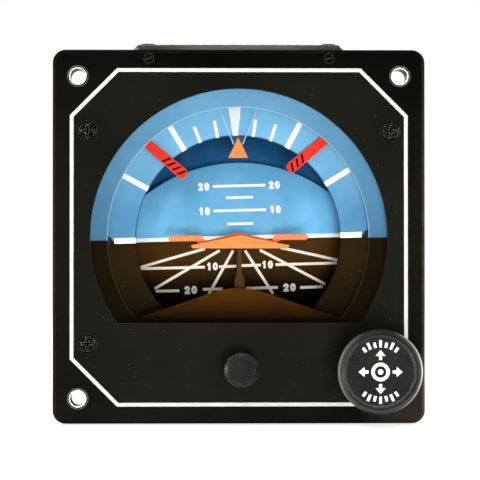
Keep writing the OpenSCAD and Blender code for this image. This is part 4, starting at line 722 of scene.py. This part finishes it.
def circuitBoard():
    # green solder mask over copper tracks, with dark and cream part bodies that stand off it
    look = boardLook
    material, tree = newMaterial("glassEpoxyBoard")
    x, y, z = axes(tree)
    flat = addNode(tree, "CombineXYZ", {0: x, 1: z})
    track = addNode(tree, "TexBrick", {
        "offset": 0.5, "Scale": perMm(look["pitch"]), "Mortar Size": 0.02, "Vector": flat,
        "Color1": (0, 0, 0, 1), "Color2": (0, 0, 0, 1), "Mortar": (1, 1, 1, 1),
    })
    green, paler = fromHex(look["mask"]), fromHex(look["track"])
    mask = addNode(tree, "Mix", {"data_type": "RGBA", 0: track, 6: green, 7: paler})
    start, end = (v * mm for v in look["face"])
    standing = addNode(tree, "MapRange", {0: y, 1: start, 2: end})
    body = mottled(tree, 9, 1.0, 0.45, 0.55, *look["parts"])
    giveSurface(tree, {
        "IOR": 1.5,
        "Base Color": addNode(tree, "Mix", {"data_type": "RGBA", 0: standing, 6: mask, 7: body}),
        "Roughness": patches(tree, 2, 3.0, 0.3, 0.7, *look["rough"]),
        "Normal": addNode(tree, "Bump", {"Height": track, "Strength": 0.3, "Distance": 0.05 * mm}),
    })
    return material


windowLook = {"tint": "#191d1d", "rough": (0.02, 0.05), "mirror": 1.2}


def windowPane():
    # flat coated glass: clear face on, and a faint mirror only towards grazing
    look = windowLook
    material, tree = newMaterial("coatedGlass")
    giveSurface(tree, {
        "Base Color": fromHex(look["tint"]), "IOR": 1.5,
        "Roughness": patches(tree, 14, 4.0, 0.45, 0.8, *look["rough"]),
        "Alpha": addNode(tree, "Fresnel", {"IOR": look["mirror"]}),
    })
    return material


carrierLook = {
    # the plate: two heights, half its width at each, and how far in from its edge the pale band runs
    "heights": (22.0, 29.8), "halves": (1.2, 4.3), "band": (0.3, 0.14),
    # glow: an emission along the cut edges, a painted light
    "tint": "#a9d6f2", "edge": "#6fb2dc", "rough": (0.04, 0.09), "cover": (0.04, 0.74), "glow": 0.35,
}


def clearAcrylic():
    # polished acrylic: clear through its faces, and pale blue along its cut edges, where an emission paints
    # in the light they gather
    look = carrierLook
    material, tree = newMaterial("clearAcrylic")
    x, _, z = axes(tree)
    low, high = (v * mm for v in look["heights"])
    narrow, wide = (v * mm for v in look["halves"])
    outer, inner = (v * mm for v in look["band"])
    clear, pale = look["cover"]
    side = addNode(tree, "Math", {"operation": "ABSOLUTE", 0: x})
    half = addNode(tree, "MapRange", {0: z, 1: low, 2: high, 3: narrow, 4: wide})
    inset = addNode(tree, "Math", {"operation": "SUBTRACT", 0: half, 1: side})
    edge = addNode(tree, "MapRange", {0: inset, 1: outer, 2: inner})
    giveSurface(tree, {
        "Base Color": fromHex(look["tint"]), "IOR": 1.49, "Specular IOR Level": 0.3,
        "Roughness": patches(tree, 1.5, 3.0, 0.3, 0.7, *look["rough"]),
        "Alpha": addNode(tree, "MapRange", {0: edge, 3: clear, 4: pale}),
        "Emission Color": fromHex(look["edge"]),
        "Emission Strength": addNode(tree, "Math", {"operation": "MULTIPLY", 0: edge, 1: look["glow"]}),
    })
    return material


lampLook = {"coat": ("#f4e6bd", "#e8d6a4"), "rough": (0.06, 0.16), "cover": 0.55}


def lampGlass():
    # clear bulb glass, warm from the filament's coating
    look = lampLook
    material, tree = newMaterial("lampGlass")
    giveSurface(tree, {
        "IOR": 1.5, "Alpha": look["cover"],
        "Base Color": mottled(tree, 1.2, 3.0, 0.3, 0.7, *look["coat"]),
        "Roughness": patches(tree, 1.2, 3.0, 0.3, 0.7, *look["rough"]),
    })
    return material


made = {part + "Enamel": bakedEnamel(part) for part in enamel}
made.update({part + "Paint": horizonPaint(part) for part in dialPaint})
made.update({name: mattPaint(name) for name in paints})
made.update({name: mouldedPlastic(name) for name in plastics})
made.update({name: machinedMetal(name) for name in metals})
single = (airplanePaint, commandBarPaint, platedConnector, circuitBoard, windowPane, clearAcrylic, lampGlass)
made.update({material.name: material for material in (make() for make in single)})
wears = {
    "bezelEnamel": "bezel",
    "plateEnamel": "mask_plate",
    "caseEnamel": "case_shell rear_cover",
    "coverEnamel": "lamp_cover",
    "outlineEnamel": "bezel_outline",
    "surroundPaint": "surround",
    "ringPaint": "bank_ring",
    "dialPaint": "pitch_dial",
    "ballPaint": "ball_upper ball_lower",
    "brownPaint": "lower_mask",
    "airplanePaint": "airplane_symbol",
    "commandBarPaint": "command_bars",
    "indexOrangePaint": "roll_index",
    "redPaint": "left_flag right_flag",
    "knobPhenolic": "adjust_knob pull_knob",
    "liftNylon": "command_lift",
    "brushPhenolic": "brush_block",
    "sealRubber": "window_gasket",
    "sleeveSteel": "mounting_sleeves",
    "blackOxide": "mask_screws",
    "blackenedSteel": "case_screws gimbal_screws",
    "screwSteel": "frame_screws connector_screws board_pillars",
    "machinedSteel": "guide_rods meter_crank adjust_shaft pull_shaft cage_lever roll_shaft"
                     " roll_bearings pitch_bearings pitch_pivots rotor_bearings",
    "springSteel": "return_spring",
    "turnedBrass": "shaft_bushes slip_rings rotor",
    "goldContact": "connector_pins",
    "castAluminium": "slide_frame lamp_bar bearing_bulkhead roll_yoke",
    "turnedAluminium": "flag_meters command_meter gyro_housing housing_cap",
    "copperWinding": "stator erector",
    "oliveChromate": "signal_connector power_connector",
    "glassEpoxyBoard": "amplifier_board",
    "coatedGlass": "window_glass",
    "clearAcrylic": "index_carrier",
    "lampGlass": "lamps",
}
for name, worn in wears.items():
    for node in worn.split():
        mesh = nodes[node].data
        mesh.materials.clear()
        mesh.materials.append(made[name])
bare = sorted(set(nodes) - {node for worn in wears.values() for node in worn.split()})
print("materials made:", len(made), "nodes still bare:", bare)

dialShape = {"radius": 36.5, "axisDepth": 50.5, "bank": 1.5, "paint": 0.05, "shift": 0.66}
ringShape = {"depth": 12.0, "paint": 0.05}


def banked(x, y, z):
    turn = math.radians(dialShape["bank"])
    return Vector((x * math.cos(turn) - z * math.sin(turn), y, x * math.sin(turn) + z * math.cos(turn))) * mm


def onDial(x, z, lift):
    reach = dialShape["radius"] + lift
    return banked(x, dialShape["axisDepth"] - math.sqrt(reach ** 2 - x ** 2 - z ** 2), z)


def onRing(x, z, lift):
    return banked(x, ringShape["depth"] - lift, z)


def onPlane(depth):
    return lambda x, z, lift: Vector((x, depth - lift, z)) * mm


def addPiece(name, points, faces, material, body):
    mesh = bpy.data.meshes.new(name)
    mesh.from_pydata(points, [], faces)
    mesh.validate()
    mesh.materials.append(made[material])
    piece = bpy.data.objects.new(name, mesh)
    bpy.context.scene.collection.objects.link(piece)
    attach(piece, body)
    return piece


def ribbon(sections, surface, lift):
    # a closed strip of paint from cross sections of two points, its back a little under the surface
    points = []
    for a, b in sections:
        points += [surface(*a, lift), surface(*b, lift), surface(*b, -0.02), surface(*a, -0.02)]
    last = len(points) - 4
    faces = [(0, 1, 2, 3)]
    for i in range(0, last, 4):
        faces += [(i + j, i + 4 + j, i + 4 + (j + 1) % 4, i + (j + 1) % 4) for j in range(4)]
    faces.append((last + 3, last + 2, last + 1, last))
    return points, faces


def paintStrips(name, strips, surface, lift, material, body):
    points, faces = [], []
    for sections in strips:
        more, facing = ribbon(sections, surface, lift)
        faces += [tuple(i + len(points) for i in face) for face in facing]
        points += more
    return addPiece(name, points, faces, material, body)


def heading(degrees):
    turn = math.radians(degrees)
    return Vector((math.cos(turn), math.sin(turn)))


def section(spot, across):
    return (spot.x + across.x, spot.y + across.y), (spot.x - across.x, spot.y - across.y)


def line(start, end, width, endWidth=None, pieces=12):
    run = Vector(end) - Vector(start)
    side = Vector((-run.y, run.x)).normalized()
    widen = (endWidth or width) - width
    parts = [k / pieces for k in range(pieces + 1)]
    return [section(Vector(start) + run * part, side * (width + widen * part) / 2) for part in parts]


def arcBand(centre, radius, width, start, end, pieces=20):
    ways = [heading(start + (end - start) * k / pieces) for k in range(pieces + 1)]
    return [section(Vector(centre) + way * radius, way * width / 2) for way in ways]


def strokeAlong(spots, width):
    # cross sections along a path, which runs a little past its last spots unless it closes
    closed = (spots[0] - spots[-1]).length < 1e-6
    last = len(spots) - 1
    sections = []
    for i, spot in enumerate(spots):
        before = spot - spots[i - 1] if i else spots[1] - spots[0]
        after = spots[i + 1] - spot if i < last else before
        if closed and i in (0, last):
            before, after = spots[-1] - spots[-2], spots[1] - spots[0]
        along = (before.normalized() + after.normalized()).normalized()
        if not closed and i in (0, last):
            spot = spot + along * width * (0.35 if i else -0.35)
        sections.append(section(spot, Vector((-along.y, along.x)) * width / 2))
    return sections


bankMarks = {
    "thin": {"angles": (-20, -10, 10, 20), "from": 24.12, "to": 28.2, "width": 0.75},
    "thick": {"angles": (-60, -30, 30, 60), "from": 24.12, "to": 30.95, "width": 1.3},
    "level": {"angles": (-90, 90), "from": 24.15, "to": 29.2, "width": 1.3},
    "top": {"angles": (0,), "from": 24.12, "to": 31.2, "width": 1.25, "outerWidth": 3.05},
}


def makeBankMarks():
    strips = []
    for look in bankMarks.values():
        inner, outer, width = look["from"], look["to"], look["width"]
        for angle in look["angles"]:
            way = heading(90 - angle)
            strips.append(line(way * inner, way * outer, width, look.get("outerWidth"), 4))
    lift = ringShape["paint"]
    paintStrips("bank_marks", strips, onRing, lift, "whiteMarkPaint", "roll_gimbal")


pitchMarks = {
    "horizon": {"half": 28.2, "height": 0.1, "width": 0.9},
    "sky": {
        # each line: its level, how far above the level it stands, and half its length
        "lines": ((5, 0.19, 3.11), (10, 0.23, 6.24), (15, 0.17, 3.19), (20, -0.03, 6.24)),
        "width": 0.62, "numbers": 8.43,
    },
    "ground": {
        "width": 0.66,
        # rays that fan out from the airplane, three at each side
        "rays": (
            ((-23.7, -6.4), (-7.9, -2.35)), ((-20.2, -11.6), (-4.4, -2.85)), ((-7.2, -13.1), (-1.2, -2.95)),
            ((24.2, -5.9), (10.1, -2.55)), ((20.9, -11.6), (5.15, -3.0)), ((8.1, -13.5), (1.6, -3.0)),
        ),
        # the two levels, each broken by the rays and its numbers
        "levels": (
            ((-23.6, -6.7), (-8.0, -6.7)), ((-4.65, -6.7), (-0.4, -6.7)),
            ((0.7, -6.57), (5.3, -6.57)), ((8.8, -6.57), (24.0, -6.57)),
            ((-19.9, -12.2), (-14.25, -12.2)), ((-8.6, -12.0), (-3.9, -12.0)),
            ((1.65, -12.0), (9.3, -12.0)), ((14.7, -12.2), (20.3, -12.2)),
        ),
        # each number: its text, its middle and how much wider it is drawn
        "numbers": (
            ("10", -6.25, -6.6, 1.0), ("20", -11.5, -12.1, 1.13),
            ("10", 6.85, -6.5, 1.0), ("20", 12.1, -12.1, 1.13),
        ),
    },
    "digits": {"height": 1.95, "width": 1.36, "gap": 0.1, "stroke": 0.55},
}
# strokes of the three digits that the scale needs, on a box one unit wide and one unit high
digitStrokes = {
    "1": [[(0.22, 0.74), (0.56, 1.0)], [(0.56, 1.0), (0.56, 0.0)]],
    "2": [
        [
            (0.06, 0.74), (0.16, 0.93), (0.38, 1.0), (0.64, 0.98),
            (0.84, 0.86), (0.86, 0.68), (0.7, 0.48), (0.08, 0.0),
        ],
        [(0.04, 0.0), (0.95, 0.0)],
    ],
    "0": [[(0.5 + 0.42 * way.y, 0.5 + 0.5 * way.x) for way in map(heading, range(0, 361, 20))]],
}


def digitStrips(text, x, z, stretch=1.0):
    # strokes of a number whose middle is at x, z
    look = pitchMarks["digits"]
    stroke, gap = look["stroke"], look["gap"] * stretch
    tall, wide = look["height"] - stroke, look["width"] * stretch - stroke
    step = look["width"] * stretch + gap
    left = x - (len(text) * step - gap) / 2 + stroke / 2
    strips = []
    for k, digit in enumerate(text):
        for path in digitStrokes[digit]:
            spots = [Vector((left + k * step + u * wide, z - tall / 2 + v * tall)) for u, v in path]
            strips.append(strokeAlong(spots, stroke))
    return strips


def makePitchMarks():
    shift, lift = dialShape["shift"], dialShape["paint"]
    horizon, sky, ground = (pitchMarks[kind] for kind in ("horizon", "sky", "ground"))
    half, height = horizon["half"], horizon["height"]
    strips = [line((-half, height), (half, height), horizon["width"], pieces=40)]
    for level, rise, half in sky["lines"]:
        height = dialShape["radius"] * math.sin(math.radians(level)) + rise
        strips.append(line((shift - half, height), (shift + half, height), sky["width"]))
        if level % 10 == 0:
            for side in (-1, 1):
                strips += digitStrips(str(level), shift + side * sky["numbers"], height)
    paintStrips("sky_marks", strips, onDial, lift, "whiteMarkPaint", "gyro")

    runs = ground["rays"] + ground["levels"]
    strips = [line(start, end, ground["width"], pieces=16) for start, end in runs]
    for number in ground["numbers"]:
        strips += digitStrips(*number)
    paintStrips("ground_marks", strips, onDial, lift * 0.8, "creamMarkPaint", "gyro")


flagStripes = {
    "depth": 10.75, "lift": 0.04, "width": 0.6, "lean": 28, "half": 0.95,
    "left": {"pivot": (-28.75, 28.45), "angle": -40.4, "steps": (15.6, 17.15, 18.7, 20.25)},
    "right": {"pivot": (28.4, 29.65), "angle": 219.6, "steps": (17.2, 18.75, 20.3)},
}


def makeFlagStripes():
    # plain slanting stripes in the places of the words
    surface, lift = onPlane(flagStripes["depth"]), flagStripes["lift"]
    half = flagStripes["half"]
    slide = half * math.tan(math.radians(flagStripes["lean"]))
    for side in ("left", "right"):
        look = flagStripes[side]
        along, across = heading(look["angle"]), heading(look["angle"] + 90)
        strips = []
        for reach in look["steps"]:
            middle = Vector(look["pivot"]) + along * reach
            out = across * half + along * slide
            ends = [section(middle + out * way, along * flagStripes["width"] / -2) for way in (-1, 1)]
            strips.append(ends)
        name, body = side + "_flag_stripes", side + "_warning_flag"
        paintStrips(name, strips, surface, lift, "blackMarkPaint", body)


faceScrews = {
    "spots": (-20.8, 20.8), "height": 41.25, "lift": 0.03,
    "radius": 1.13, "rim": 0.16, "slot": 0.3, "slotHalf": (0.8, 0.25),
}


def makeFaceScrews():
    # two small screws, painted over, that lie flush in the bezel's upper border and hold the lamp cover's lip
    look = faceScrews
    slotHalf = Vector(look["slotHalf"])
    middles = [Vector((x, look["height"])) for x in look["spots"]]
    strips = [arcBand(middle, look["radius"], look["rim"], 0, 360, 24) for middle in middles]
    strips += [line(middle - slotHalf, middle + slotHalf, look["slot"], pieces=1) for middle in middles]
    paintStrips("face_screw_rims", strips, onPlane(0), look["lift"], "rubbedEnamel", "case")


pullSign = {
    "centre": (31.3, -30.3), "depth": -15.9, "lift": 0.06, "stroke": 0.75,
    "ring": 1.7, "dot": (0.3, 0.6),
    "arrow": (2.7, 3.6, 4.9), "head": (2.2, 0.05),   # where stem, head and tip are, and the head's two widths
    "ticks": (-36, -24, -12, 0, 12, 24, 36), "tick": (5.5, 6.7, 7.1),   # every second tick is a little longer
}


def makePullSign():
    # a plain sign for pulling: a ring and a dot, four outward arrows and two arcs of ticks
    look = pullSign
    centre, stroke = Vector(look["centre"]), look["stroke"]
    strips = [arcBand(centre, look["ring"], stroke, 0, 360, 32), arcBand(centre, *look["dot"], 0, 360, 16)]
    for turn in (0, 90, 180, 270):
        start, neck, tip = (centre + heading(turn) * reach for reach in look["arrow"])
        strips.append(line(start, neck, stroke * 0.9, pieces=2))
        strips.append(line(neck, tip, *look["head"], pieces=3))
    inner, short, long = look["tick"]
    for middle in (90, 270):
        for step in look["ticks"]:
            way = heading(middle + step)
            outer = short if step % 24 else long
            strips.append(line(centre + way * inner, centre + way * outer, stroke * 0.8, pieces=2))
    surface, lift = onPlane(look["depth"]), look["lift"]
    paintStrips("pull_sign", strips, surface, lift, "whiteMarkPaint", "erection_pull")


makeBankMarks()
makePitchMarks()
makeFlagStripes()
makeFaceScrews()
makePullSign()
print("marks painted")

print("scene ready")
